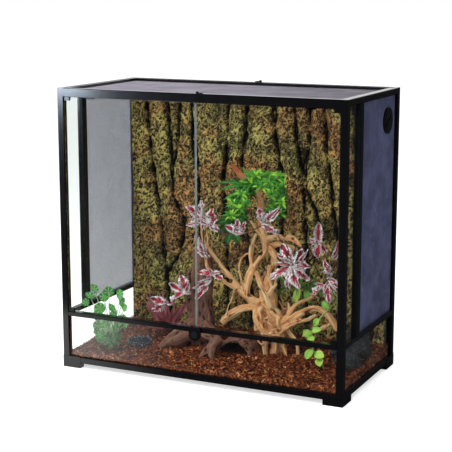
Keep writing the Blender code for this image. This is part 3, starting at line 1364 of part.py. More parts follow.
def lump(centre, half_sizes, seed):
    """A rough stone from a displaced sphere."""
    shape = bmesh.new()
    bmesh.ops.create_icosphere(shape, subdivisions=2, radius=1.0)
    for vertex in shape.verts:
        place = vertex.co * ROCK_GRAIN + Vector((seed, seed * 2.0, 0.0))
        rough = 1.0 + ROCK_ROUGHNESS * noise.noise(place)
        vertex.co = Vector([centre[axis] + half_sizes[axis] * vertex.co[axis] * rough for axis in range(3)])
    points = [vertex.co.copy() for vertex in shape.verts]
    faces = [tuple(vertex.index for vertex in face.verts) for face in shape.faces]
    shape.free()
    return points, faces


def arch():
    """Half of a hollow log, open to the front."""
    centre_x, centre_y, floor = laid_out(ARCH_CENTRE)
    outline = []
    for step in range(ARCH_STEPS + 1):
        angle = math.pi * step / ARCH_STEPS
        outline.append((centre_x + ARCH_HALF_SPAN * math.cos(angle), floor + ARCH_HEIGHT * math.sin(angle)))
    for step in range(ARCH_STEPS, -1, -1):
        angle = math.pi * step / ARCH_STEPS
        span = ARCH_HALF_SPAN - ARCH_WALL
        height = ARCH_HEIGHT - ARCH_WALL
        outline.append((centre_x + span * math.cos(angle), floor + height * math.sin(angle)))
    return prism(outline, "y", centre_y - ARCH_HALF_DEPTH, centre_y + ARCH_HALF_DEPTH)


def make_hide(wood, ground):
    solids = [tube([laid_out(point) for point in branch], STUMP_SIDES) for branch in STUMP_BRANCHES]
    solids.insert(1, arch())
    hide = fused_object("stump_hide", solids, wood)
    make_room(hide, ground)
    keep_largest_body(hide)
    return hide


def make_driftwood(wood, neighbours):
    branches = sorted(DRIFTWOOD_BRANCHES, key=len, reverse=True)
    solids = [tube([laid_out(point) for point in branch], DRIFTWOOD_SIDES) for branch in branches]
    driftwood = fused_object("driftwood", solids, wood)
    make_room(driftwood, neighbours)
    keep_largest_body(driftwood)
    return driftwood


def make_rocks(stone, neighbours):
    solids = []
    for index, (centre, half_sizes) in enumerate(ROCKS):
        inset, y, z = laid_out(centre)
        solids.append(lump((INNER_X - inset, y, z), half_sizes, ROCK_SEED + index))
    rocks = fused_object("rocks", solids, stone)
    make_room(rocks, neighbours)
    keep_largest_body(rocks)
    return rocks


def nearest_on_stems(spot, stems):
    """The point of the stems' middle lines that is closest to the spot."""
    spot = Vector(spot)
    best = None
    for run in stems:
        for start, end in zip(run, run[1:]):
            first, second = Vector(start[:3]), Vector(end[:3])
            along = second - first
            share = (spot - first).dot(along) / along.length_squared
            found = first + along * max(STEM_END_SHARE, min(1.0 - STEM_END_SHARE, share))
            if best is None or (spot - found).length < (spot - best).length:
                best = found
    return best


def planted(name, solids, material, neighbours):
    """A plant as one body, cut back to its seats on its neighbours."""
    plant = fused_object(name, solids, material)
    make_room(plant, neighbours)
    keep_largest_body(plant)
    return plant


def make_leafy(name, stems, leaves, material, neighbours):
    """A plant of thin stems with leaves growing out of them."""
    stems = [[laid_out(point) for point in run] for run in stems]
    solids = [tube(run, STEM_SIDES) for run in stems]
    for near, tip, width in leaves:
        solids.append(leaf(nearest_on_stems(laid_out(near), stems), laid_out(tip), width))
    return planted(name, solids, material, neighbours)


def crown(root, radius, top_radius):
    """The stub that a plant's leaves grow from, and the middle of its top."""
    x, y = laid_out((*root, 0.0))[:2]
    floor = substrate_height(x, y)
    stub = tube(((x, y, floor - CROWN_DEPTH, radius), (x, y, floor + CROWN_HEIGHT, top_radius)), CROWN_SIDES)
    return stub, Vector((x, y, floor + CROWN_HEIGHT / 2))


def around(middle, radius, number):
    """A point on a small circle round the middle, a golden angle further for each number."""
    angle = GOLDEN_ANGLE * number
    return middle + Vector((radius * math.cos(angle), radius * math.sin(angle), 0.0))


def make_round_leaf_plant(green, neighbours):
    """A crown in the substrate with a stalk to each round leaf."""
    stub, middle = crown(ROUND_PLANT_ROOT, ROUND_CROWN_RADIUS, ROUND_CROWN_TOP_RADIUS)
    solids = [stub]
    half_leaf = ROUND_PLANT_LEAF / 2
    for number, centre in enumerate(ROUND_PLANT_LEAVES):
        centre = Vector(laid_out(centre))
        start = around(middle, ROUND_CROWN_TOP_RADIUS / 2, number)
        outward = (centre - start).normalized()
        bend = start.lerp(centre, STALK_BEND_SHARE) + Vector((0.0, 0.0, STALK_BEND))
        end = centre - outward * half_leaf * STALK_END_SHARE
        solids.append(tube([(*spot, STALK_RADIUS) for spot in (start, bend, end)], STALK_SIDES))
        tip = centre + outward * half_leaf
        base = centre - outward * half_leaf
        solids.append(leaf(base, tip, ROUND_PLANT_LEAF, LEAF_ROUND, ROUND_PLANT_FACING))
    return planted("round_leaf_plant", solids, green, neighbours)


def make_maroon_plant(maroon, neighbours):
    """Strap leaves fanning out of one crown."""
    stub, middle = crown(MAROON_ROOT, MAROON_CROWN_RADIUS, MAROON_CROWN_TOP_RADIUS)
    solids = [stub]
    for number, tip in enumerate(MAROON_TIPS):
        start = around(middle, MAROON_CROWN_TOP_RADIUS / 2, number)
        turned = MAROON_FACING_SPREAD * math.sin(GOLDEN_ANGLE * number)
        facing = (turned, *MAROON_FACING)
        solids.append(leaf(start, laid_out(tip), MAROON_LEAF_WIDTH, LEAF_STRAP, facing))
    return planted("maroon_plant", solids, maroon, neighbours)


def make_all():
    remove_everything()
    black = plastic_or_wood("black_frame_plastic", (0.012, 0.012, 0.014), 0.32)
    steel = plastic_or_wood("dark_lock_metal", (0.03, 0.03, 0.035), 0.35, 0.6)
    glass = clear_glass("float_glass", (0.86, 0.95, 0.93))
    mesh_metal = plastic_or_wood("grey_mesh", (0.30, 0.30, 0.34), 0.45, 0.5)
    bark = plastic_or_wood("bark_board", (0.12, 0.085, 0.035), 0.9)
    earth = plastic_or_wood("bark_chips", (0.30, 0.11, 0.045), 0.9)
    wood = plastic_or_wood("driftwood_tan", (0.52, 0.29, 0.13), 0.75)
    hide_wood = plastic_or_wood("stump_brown", (0.17, 0.09, 0.055), 0.8)
    stone = plastic_or_wood("dark_stone", (0.06, 0.06, 0.065), 0.8)
    stoneware = plastic_or_wood("dish_glaze", (0.03, 0.035, 0.045), 0.3)
    round_green = plastic_or_wood("round_leaf_green", (0.16, 0.42, 0.08), 0.5)
    maroon = plastic_or_wood("maroon_strap", (0.16, 0.02, 0.04), 0.5)
    fern_green = plastic_or_wood("fern_leaf_green", (0.09, 0.30, 0.04), 0.5)
    splashed = plastic_or_wood("splashed_leaf", (0.45, 0.10, 0.14), 0.5)
    vine_green = plastic_or_wood("vine_leaf_green", (0.38, 0.50, 0.09), 0.5)

    make_feet(black)
    make_base_rails(black)
    posts = make_posts(black)
    make_top_caps(black)
    make_top_rails(black)
    make_middle_rails(black)
    make_panes(glass)
    make_side_meshes(mesh_metal)
    port_ring, port_cover = make_port(black)
    set_origin(port_cover, (PANEL_X, *PORT_CENTRE))
    make_doors(glass, black)
    housing = make_lock_housing(black)
    make_bolt(steel)
    knob = make_lock_cylinder(steel)
    make_lid(black, mesh_metal)
    latches = [make_latch("latch_front", LATCH_FRONT_HUB, 1, black)]
    latches.append(make_latch("latch_back", LATCH_BACK_HUB, -1, black))

    background = make_background(bark)
    dish = make_dish(stoneware)
    substrate = make_substrate(earth, [background, dish] + posts)
    hide = make_hide(hide_wood, [substrate, background])
    driftwood = make_driftwood(wood, [substrate, background, hide])
    rocks = make_rocks(stone, [substrate, background, driftwood])
    round_leaf_plant = make_round_leaf_plant(round_green, [substrate])
    maroon_plant = make_maroon_plant(maroon, [substrate, dish, hide, background])
    fern = make_leafy("fern", FERN_STEMS, FERN_LEAVES, fern_green, [driftwood, background])
    carriers = [driftwood, hide, maroon_plant, fern]
    garland = make_leafy("leaf_garland", GARLAND_STEMS, GARLAND_LEAVES, splashed, carriers)
    carriers = [substrate, driftwood, rocks, garland]
    vine = make_leafy("vine", VINE_STEMS, VINE_LEAVES, vine_green, carriers)
    shade_round([port_ring, port_cover, housing, knob, dish, *latches])
    shade_round([background, substrate, hide, driftwood, rocks])
    shade_round([round_leaf_plant, maroon_plant, fern, garland, vine])


make_all()
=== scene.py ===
"""A furnished glass terrarium: finishes, furnishings, floor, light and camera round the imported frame."""

import math
import random

import bpy
import numpy as np
from mathutils import Matrix, Vector, noise
from mathutils.bvhtree import BVHTree


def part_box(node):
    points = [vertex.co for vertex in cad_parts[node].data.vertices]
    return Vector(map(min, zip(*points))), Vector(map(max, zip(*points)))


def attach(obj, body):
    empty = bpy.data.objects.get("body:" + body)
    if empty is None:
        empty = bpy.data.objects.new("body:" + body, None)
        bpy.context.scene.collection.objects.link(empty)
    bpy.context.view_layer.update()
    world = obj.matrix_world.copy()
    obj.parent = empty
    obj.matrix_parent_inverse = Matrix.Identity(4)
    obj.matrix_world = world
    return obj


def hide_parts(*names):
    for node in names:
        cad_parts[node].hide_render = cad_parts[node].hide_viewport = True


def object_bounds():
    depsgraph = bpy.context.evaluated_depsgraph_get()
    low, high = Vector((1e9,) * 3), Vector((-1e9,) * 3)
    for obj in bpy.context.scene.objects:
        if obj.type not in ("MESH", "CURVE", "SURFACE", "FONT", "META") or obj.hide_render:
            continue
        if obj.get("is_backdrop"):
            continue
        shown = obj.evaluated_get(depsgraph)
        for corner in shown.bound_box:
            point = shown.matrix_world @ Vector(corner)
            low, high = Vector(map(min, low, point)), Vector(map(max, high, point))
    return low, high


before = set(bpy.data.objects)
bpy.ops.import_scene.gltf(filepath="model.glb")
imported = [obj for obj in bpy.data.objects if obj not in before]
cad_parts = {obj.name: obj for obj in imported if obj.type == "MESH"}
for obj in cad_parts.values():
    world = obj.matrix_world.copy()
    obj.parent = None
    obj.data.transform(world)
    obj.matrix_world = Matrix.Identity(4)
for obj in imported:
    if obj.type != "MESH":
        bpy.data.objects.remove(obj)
cad_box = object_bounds()

# Camera. The sensor and the lens are in millimetres.
CAMERA_PLACE = (1.5699, -3.3436, 1.1518)
CAMERA_TARGET = (-0.0100, 0.0, 0.4309)
SENSOR_WIDTH = 36.0
LENS = 2.7854 * SENSOR_WIDTH

# Studio, in metres, watts and shares of white
FLOOR_SIZE = 60.0
FLOOR_LIFT = 0.62
WORLD_FILL = 0.58
FLAG_LEVEL = 0.05
KEY_SIZE = 2.4
KEY_POWER = 88.0
TOP_SIZE = 1.6
TOP_POWER = 36.0
CARD_SIZE = (0.9, 0.30)
CARD_POWER = 34.0
CARD_TINT = (0.72, 0.84, 1.0)

# Where each lamp stands, and what it points at
KEY_PLACES = ((-1.1, -2.2, 3.0), (0.0, 0.0, 0.35))
TOP_PLACES = ((0.0, -0.2, 2.6), (0.0, 0.0, 0.4))
CARD_PLACES = ((-2.77, -3.30, 0.636), (-0.4, 0.0, 0.636))

# Mesh of the sides and the lid
WIRE_PITCH = 0.0016
SIDE_WIRE_RADIUS = 0.00031
LID_WIRE_RADIUS = 0.00024
PORT_RING_WALL = 0.0022
PORT_HOLE_MARGIN = 0.0006

# Ground edge of the doors where they meet
DOOR_EDGE_REACH = 0.0030

# Bark background
BARK_CELL = 0.0027
BARK_BLUR = 5
BARK_MARGIN = 0.0006
BARK_BACK = 0.002
FISSURE_WIDTH = 0.0050
FISSURE_DEPTH = 0.012
WANDER = ((26.0, 4.0, 0.010), (90.0, 5.0, 0.003))
PLATE_REACH = 0.016
RIDGE_HEIGHT = 0.0030
RIDGE_GRAIN = 62.0
RIDGE_SHARPNESS = 4.2
SWELL_HEIGHT = 0.0035
SWELL_GRAIN = 34.0
# Where a dark patch of painted shade stands for a hollow in the bark, and its half sizes
HOLLOW_SHADE_PLACE = (0.242, 0.401)
HOLLOW_SHADE_HALF = (0.022, 0.045)

# Bark chips
CHIP_SEED = 11
CHIPS_ON_TOP = 13500
CHIPS_ON_FRONT = 1500
CHIPS_ON_SIDE = 650
CHIP_LENGTH = (0.0055, 0.0125)
CHIP_WIDTH = (0.0022, 0.0046)
CHIP_THICKNESS = (0.0008, 0.0019)
CHIP_JITTER = 0.22
CHIP_SINK = 0.004
CHIP_EDGE = 0.002
TOP_TILT = 0.38
WALL_TILT = 0.22
CHIP_TINT = (0.49, 0.26)
BED_INSET = 0.0035
BED_CELLS = (60, 30)
BED_SHADE_TINT = 0.04
ARCH_SHADE = 0.2

# Wood
WOOD_VOXEL = 0.0023
RUN_STEP = 0.007
TUBE_SIDES = 14
WOOD_SMOOTHING = 2
WOOD_SWELL = 1.15
GRAIN_DEPTH = 0.0014
STUMP_GRAIN_DEPTH = 1.4 * GRAIN_DEPTH
KNOT_DEPTH = 0.0030
STRAND_SEED = 5

# Sets of winding roots: how many, the trunk's middle and radius, top and bottom, and how thick they are
DRIFTWOOD_ROOTS = (38, (0.140, 0.014), 0.041, 0.215, 0.085, (0.0035, 0.0070))
BRANCH_ROOTS = (14, (0.118, 0.026), 0.020, 0.330, 0.170, (0.0035, 0.0060))
STUMP_ROOTS = (9, (-0.104, 0.020), 0.036, 0.330, 0.080, (0.006, 0.012))

# Hide
ARCH_CENTRE = (0.035, 0.004, 0.036)
ARCH_HALF_SPAN = 0.060
ARCH_HALF_DEPTH = 0.048
ARCH_HEIGHT = 0.060
ARCH_WALL = 0.010

# Rocks and dish
ROCK_VOXEL = 0.0022
ROCK_CHIP_DEPTH = 0.0045
ROCK_GRAIN_DEPTH = 0.0012
DISH_MARGIN = 0.0002
DISH_WALL = 0.005
DISH_FOOT = 0.004
DISH_RIM = 0.0025
WATER_BELOW_RIM = 0.0045

# Plants
LEAF_THICKNESS = 0.0004
LEAF_FACING = (0.0, -0.8, 0.6)
FERN_SEED = 21
GARLAND_SEED = 8
ROUND_PLANT_SEED = 4
MAROON_SEED = 15
VINE_SEED = 30
BROAD_FERN_LEAF = 0.02
VINE_NARROW_ABOVE = 0.27
STEM_STEP = 0.006
ROUND_PLANT_ROOT = (-0.335, -0.135)
ROUND_FOOT_LEAVES = 100
ROUND_FOOT_LEVELS = (0.064, 0.158)
ROUND_FOOT_X = -0.328
MAROON_ROOT = (-0.226, 0.052)
EXTRA_STRAPS = 26
FAN_LEAFLETS = 8
LEAFLETS_AT_POINT = 8
VINE_TENDRILS = 46

# The driftwood's upright branch, which the fern leaves free, as heights and X
FERN_GAP_HEIGHTS = (0.415, 0.455, 0.500, 0.540)
FERN_GAP_X = (0.094, 0.087, 0.081, 0.071)
FERN_GAP_HALF = 0.013

# Routes and leaves are in millimetres. All else is in metres.

# Fissures between the bark plates, from top to bottom, as X and Z
BARK_FISSURES = (
    ((-385, 820), (-375, 700), (-358, 540), (-337, 430), (-314, 240), (-300, 40)),
    ((-310, 820), (-295, 630), (-288, 470), (-247, 400), (-262, 290), (-310, 220)),
    ((-260, 820), (-263, 660), (-286, 580)),
    ((-224, 820), (-207, 630), (-190, 420), (-190, 200), (-180, 40)),
    ((-85, 820), (-97, 650), (-110, 540), (-104, 460), (-95, 250), (-90, 40)),
    ((-29, 820), (-32, 680), (-47, 600), (-30, 400), (-10, 200), (-10, 40)),
    ((62, 820), (70, 670), (85, 600), (98, 460), (80, 250), (90, 40)),
    ((122, 820), (146, 630), (161, 550), (168, 440), (173, 300), (180, 40)),
    ((178, 820), (179, 660), (165, 600), (172, 520), (215, 430), (198, 290)),
    ((222, 820), (235, 650), (258, 500), (273, 370), (285, 200), (285, 40)),
    ((315, 820), (330, 600), (322, 400), (350, 200), (345, 40)),
    ((385, 820), (378, 600), (392, 350), (385, 40)),
)
# Branches and stems are runs of X, Y, Z and radius
DRIFTWOOD_STRANDS = (
    ((57, 60, 537, 4), (71, 58, 520, 8), (78, 58, 487, 10), (81, 58, 448, 9), (86, 55, 416, 10),
     (98, 50, 384, 12), (103, 45, 349, 9)),
    ((60, 58, 532, 5), (40, 60, 553, 8), (18, 60, 570, 10), (2, 60, 588, 8), (-20, 60, 610, 4)),
    ((57, 30, 448, 3), (68, 36, 430, 4), (80, 45, 408, 5), (99, 48, 385, 6)),
    ((106, 30, 383, 6), (110, 22, 361, 6), (97, 12, 341, 6), (81, 4, 314, 6), (70, 0, 277, 7),
     (60, 0, 234, 7), (75, 4, 199, 7)),
    ((77, 30, 410, 4), (67, 22, 381, 6), (66, 16, 349, 7), (69, 10, 317, 6), (58, 6, 281, 6),
     (55, 4, 239, 6)),
    ((56, 10, 352, 2), (37, 8, 333, 3), (32, 4, 303, 4), (40, 2, 271, 4), (49, 2, 239, 5)),
    ((98, 50, 390, 8), (137, 50, 400, 8), (174, 48, 403, 9), (200, 46, 394, 7), (217, 44, 381, 4)),
    ((104, 52, 366, 7), (138, 55, 378, 8), (171, 55, 375, 6), (198, 52, 369, 3)),
    ((112, 40, 369, 10), (132, 38, 348, 10), (134, 34, 318, 10), (123, 28, 289, 11), (119, 22, 254, 11),
     (131, 18, 217, 12), (135, 16, 179, 13)),
    ((122, 16, 366, 2), (147, 10, 346, 3), (175, 4, 326, 2)),
    ((-106, 20, 433, 2), (-96, 19, 385, 4), (-78, 17, 354, 5), (-53, 14, 326, 6), (-25, 12, 296, 7),
     (6, 10, 269, 8), (30, 8, 241, 9)),
    ((-72, -10, 430, 2), (-64, -12, 388, 3), (-70, -14, 345, 4), (-64, -12, 300, 5), (-38, -10, 278, 5),
     (-6, -6, 259, 6), (24, 0, 243, 7)),
    ((7, 8, 260, 8), (44, 6, 231, 10), (84, 6, 208, 11), (111, 10, 193, 12), (136, 14, 170, 12)),
    ((84, 12, 300, 6), (104, 4, 256, 7), (125, 0, 220, 8), (142, -2, 187, 8), (167, 0, 163, 7)),
    ((153, 12, 268, 3), (137, 10, 249, 5), (122, 8, 230, 6), (106, 8, 207, 6)),
    ((-20, -6, 133, 10), (-1, -4, 150, 11), (31, 0, 174, 11), (68, 4, 189, 10), (105, 10, 189, 10)),
    ((3, -20, 150, 4), (6, -18, 185, 3), (17, -14, 212, 3), (18, -8, 232, 3), (31, -2, 244, 4)),
    ((150, 10, 137, 6), (187, 14, 173, 6), (211, 18, 208, 5), (232, 20, 221, 5), (261, 20, 236, 4),
     (286, 20, 268, 3), (298, 20, 305, 2)),
    ((153, 2, 137, 10), (199, 0, 166, 9), (237, 0, 191, 9), (281, 0, 211, 8), (312, 0, 200, 8),
     (334, -2, 180, 8), (350, -2, 149, 5)),
    ((163, -6, 125, 6), (202, -8, 148, 5), (231, -8, 166, 5), (258, -6, 175, 5), (285, -4, 192, 4)),
    ((240, -2, 120, 3), (281, 0, 138, 5), (309, 0, 156, 6), (334, 0, 173, 4)),
    ((105, 14, 170, 10), (125, -6, 109, 9), (124, -12, 80, 8), (128, -14, 50, 7)),
    ((140, 10, 150, 16), (148, 6, 104, 14), (153, 6, 79, 12), (145, 8, 40, 14)),
    ((165, 6, 140, 10), (173, 0, 110, 8), (182, -6, 86, 7), (197, -10, 55, 6)),
    ((180, 6, 150, 7), (201, 4, 121, 6), (220, 4, 100, 5), (226, 4, 60, 5)),
    ((120, 20, 190, 18), (146, 20, 155, 22), (152, 24, 90, 20), (160, 30, 40, 20)),
    ((92, 12, 205, 8), (88, 0, 170, 8), (102, -10, 140, 8), (132, -18, 122, 8), (172, -14, 118, 6)),
)
STUMP_BRANCHES = (
    ((-104, 30, 20, 56), (-104, 28, 70, 48), (-104, 24, 120, 40), (-102, 20, 200, 34), (-98, 20, 280, 32),
     (-96, 20, 345, 28)),
    ((-104, 0, 120, 32), (-122, -30, 98, 30), (-165, -50, 70, 24), (-212, -62, 36, 12)),
    ((-95, 10, 110, 30), (-62, -15, 100, 28), (-30, -30, 86, 20), (-30, -42, 30, 17)),
    ((-18, -40, 86, 16), (-18, -80, 80, 13), (-34, -102, 58, 12), (-48, -112, 26, 9)),
    ((-18, -74, 78, 12), (-8, -104, 60, 10), (4, -122, 26, 9)),
)
FERN_STEMS = (
    ((68, 60, 515, 3), (55, 34, 552, 2.5), (80, 28, 576, 2.5), (120, 28, 576, 2), (140, 30, 548, 2),
     (146, 30, 505, 1.8), (140, 30, 470, 1.5)),
    ((64, 60, 528, 3), (38, 34, 540, 2.5), (20, 28, 500, 2.2), (12, 26, 450, 1.8), (4, 26, 415, 1.5)),
)
GARLAND_STEMS = (
    ((-205, -28, 172, 1.5), (-165, -32, 200, 1.5), (-129, -36, 225, 1.5), (-81, -36, 243, 1.5),
     (-38, -36, 275, 1.5), (-42, -36, 315, 1.5), (-58, -36, 350, 1.5), (-70, -32, 400, 1.5),
     (-74, -18, 452, 1.5), (-42, -22, 424, 1.5), (-2, -22, 412, 1.5), (45, -12, 420, 1.5),
     (94, -4, 434, 1.5), (130, 0, 462, 1.5), (158, -5, 423, 1.5), (187, -12, 384, 1.5),
     (214, -18, 336, 1.5), (259, -12, 360, 1.5), (294, 0, 405, 1.5), (336, -4, 363, 1.5),
     (330, -12, 312, 1.5), (315, -15, 283, 1.5)),
    ((-56, -37, 345, 1.5), (-70, -12, 330, 1.5)), ((-76, -20, 450, 1.5), (-92, 18, 385, 1.5)),
    ((92, -6, 433, 1.5), (84, 56, 430, 1.5)), ((213, -20, 338, 1.5), (196, 50, 384, 1.5)),
    ((317, -17, 287, 1.5), (300, 20, 290, 1.5)),
)
VINE_STEMS = (
    ((345, -78, 30, 1.8), (330, -80, 80, 1.8), (308, -80, 104, 1.8), (300, -80, 150, 1.8),
     (308, -78, 182, 1.8), (322, -60, 204, 1.8), (334, -30, 222, 1.8), (345, 6, 238, 1.8),
     (322, 40, 252, 1.8), (270, 58, 252, 1.8), (210, 64, 250, 1.8), (168, 64, 240, 1.8),
     (120, 40, 235, 1.8)),
)
# A leaf is a point near its stem, its tip and its width
FERN_LEAVES = (
    ((52, 34, 552), (-67, 20, 549), 17), ((55, 34, 552), (-43, 12, 530), 17),
    ((62, 34, 560), (27, 32, 607), 15), ((76, 30, 570), (73, 20, 610), 15),
    ((94, 30, 576), (98, 34, 608), 13), ((120, 28, 576), (151, 20, 604), 15),
    ((122, 28, 572), (182, 30, 579), 16), ((128, 30, 564), (170, 12, 556), 14),
    ((140, 30, 548), (182, 30, 520), 14), ((144, 30, 520), (180, 30, 490), 14),
    ((146, 30, 505), (172, 22, 466), 13), ((146, 30, 505), (112, 16, 480), 13),
    ((140, 30, 470), (150, 30, 436), 13), ((142, 30, 535), (108, 12, 520), 14),
    ((105, 28, 576), (96, 4, 538), 15), ((75, 28, 572), (52, 6, 528), 15),
    ((85, 28, 576), (126, 4, 590), 15), ((38, 34, 540), (-12, 26, 575), 15),
    ((30, 30, 530), (-26, 18, 505), 15), ((26, 30, 515), (58, 10, 498), 14),
    ((20, 28, 500), (-22, 18, 482), 14), ((18, 28, 490), (50, 12, 470), 14),
    ((16, 27, 475), (-22, 16, 452), 14), ((13, 26, 460), (46, 12, 442), 14),
    ((12, 26, 445), (-48, 14, 432), 26), ((8, 26, 435), (-52, 16, 395), 26),
    ((4, 26, 418), (-12, 16, 370), 26), ((4, 26, 418), (30, 14, 378), 24),
)
GARLAND_LEAVES = (
    ((-80, -20, 455), (-76, -20, 508), 28), ((-35, -22, 421), (-47, -20, 484), 30),
    ((-55, -22, 432), (-98, -36, 466), 26), ((-74, -18, 452), (-129, -20, 487), 28),
    ((-74, -20, 445), (-127, -20, 428), 26), ((26, -18, 415), (37, -15, 458), 24),
    ((45, -12, 420), (66, -14, 453), 20), ((40, -12, 420), (2, -32, 440), 20),
    ((120, -2, 452), (166, 0, 496), 26), ((120, -2, 452), (104, 2, 495), 22),
    ((156, -5, 423), (112, -18, 446), 22), ((288, 0, 400), (286, 2, 467), 26),
    ((294, 0, 403), (288, -8, 362), 28), ((334, -4, 364), (350, -4, 418), 20),
    ((210, -18, 340), (178, -22, 398), 28), ((219, -18, 340), (243, -22, 396), 28),
    ((226, -18, 342), (274, -30, 341), 28), ((212, -18, 336), (150, -30, 290), 24),
    ((214, -18, 336), (204, -30, 272), 26), ((222, -18, 340), (275, -32, 300), 26),
    ((216, -18, 336), (250, -40, 274), 26), ((332, -10, 322), (314, -20, 362), 20),
    ((316, -15, 285), (283, -30, 252), 22), ((320, -14, 292), (336, -30, 238), 24),
    ((328, -12, 304), (362, -30, 288), 20), ((-45, -36, 268), (-86, -48, 208), 22),
    ((-40, -36, 276), (-80, -48, 250), 20), ((-40, -36, 290), (-82, -50, 292), 20),
    ((-40, -36, 290), (4, -48, 276), 20), ((-52, -36, 335), (-94, -42, 362), 20),
    ((-60, -36, 352), (-74, -48, 396), 22), ((-126, -36, 226), (-143, -40, 277), 32),
    ((-129, -36, 225), (-176, -48, 176), 24), ((-133, -36, 222), (-182, -36, 244), 24),
    ((-195, -30, 178), (-246, -40, 192), 26), ((-203, -30, 172), (-240, -36, 150), 22),
)
VINE_LEAVES = (
    ((308, -78, 182), (330, -90, 206), 20), ((300, -80, 152), (278, -90, 166), 24),
    ((300, -80, 150), (306, -96, 132), 22), ((304, -80, 166), (334, -88, 172), 20),
    ((310, -80, 108), (292, -98, 82), 26), ((318, -80, 104), (346, -94, 94), 26),
    ((326, -80, 84), (338, -106, 68), 24), ((336, -28, 222), (312, -30, 240), 20),
    ((345, 6, 238), (372, 0, 256), 22), ((168, 64, 240), (138, 50, 285), 22),
    ((180, 64, 243), (176, 50, 290), 22), ((205, 64, 250), (196, 48, 206), 22),
    ((225, 62, 250), (246, 46, 210), 22), ((212, 64, 250), (220, 50, 296), 22),
    ((255, 60, 252), (262, 48, 298), 22),
)
# A round leaf is its middle and its width, and how far it faces up instead of forward
ROUND_PLANT_LEAVES = (
    (-383, -150, 231, 30, 3.0), (-327, -155, 233, 34, 0.5), (-291, -145, 223, 32, 0.8),
    (-405, -140, 205, 30, 3.0), (-414, -150, 187, 26, 0.1), (-354, -140, 208, 30, 0.8),
    (-357, -162, 178, 36, 0.4), (-305, -165, 182, 38, 0.4), (-275, -150, 186, 24, 0.6),
    (-289, -140, 200, 28, 0.7), (-307, -160, 161, 28, 0.6), (-277, -150, 146, 26, 0.6),
    (-270, -155, 134, 24, 0.5), (-319, -178, 93, 30, 0.4), (-368, -160, 120, 30, 0.6),
    (-340, -170, 130, 30, 0.5), (-299, -165, 120, 28, 0.5), (-351, -175, 97, 26, 0.5),
    (-366, -150, 82, 22, 0.5), (-322, -170, 72, 22, 0.5),
)
# Middles of the fern's bright fans, and tips of the red straps
FERN_FANS = (
    (83, 16, 588), (122, 16, 573), (155, 18, 592), (172, 18, 568), (100, 14, 556), (135, 14, 540),
    (167, 18, 511), (162, 18, 480), (50, 14, 502), (31, 14, 485), (4, 14, 462), (10, 14, 500),
    (36, 14, 530),
)
MAROON_TIPS = (
    (-303, 30, 186), (-312, 45, 145), (-279, 10, 162), (-251, 45, 195), (-213, 5, 160), (-181, 40, 148),
    (-157, 60, 172), (-316, 30, 92), (-246, 0, 128), (-280, 10, 100), (-196, 10, 108),
)


def metres(table):
    """A table of millimetres, in metres."""
    return [metres(row) if isinstance(row, tuple) else row / 1000 for row in table]


def srgb(red, green, blue):
    """A colour given as it looks on a screen, from 0 to 255, in the linear values that a shader takes."""
    shares = [value / 255 for value in (red, green, blue)]
    linear = [((v + 0.055) / 1.055) ** 2.4 if v > 0.04045 else v / 12.92 for v in shares]
    return (*linear, 1.0)


# Shader building. A triple of whole numbers is a colour as srgb takes it.


class Value:
    """What a shader node puts out. A sum on it makes the node that works the sum out."""

    def __init__(self, tree, socket):
        self.tree, self.socket = tree, socket

    def __add__(self, other):
        return self.tree.math("ADD", self, other)

    def __sub__(self, other):
        return self.tree.math("SUBTRACT", self, other)

    def __rsub__(self, other):
        return self.tree.math("SUBTRACT", other, self)

    def __mul__(self, other):
        return self.tree.math("MULTIPLY", self, other)

    def __abs__(self):
        return self.tree.math("ABSOLUTE", self)

    def sine(self):
        return self.tree.math("SINE", self)

    def largest(self, other):
        return self.tree.math("MAXIMUM", self, other)

    def above(self, level):
        return self.tree.math("GREATER_THAN", self, level)

    def spread(self, low, high, start=0.0, end=1.0):
        """Its stretch from low to high, laid on start to end with soft ends."""
        given = {"Value": self, "From Min": low, "From Max": high, "To Min": start, "To Max": end}
        return self.tree.value("ShaderNodeMapRange", "Result", given, interpolation_type="SMOOTHSTEP")

    def stretched(self, *scale):
        made = self.tree.node("ShaderNodeMapping", vector_type="POINT")
        self.tree.feed(made.inputs["Vector"], self)
        made.inputs["Scale"].default_value = scale
        return Value(self.tree, made.outputs["Vector"])

    def parts(self):
        made = self.tree.node("ShaderNodeSeparateXYZ")
        self.tree.feed(made.inputs[0], self)
        return [Value(self.tree, socket) for socket in made.outputs]


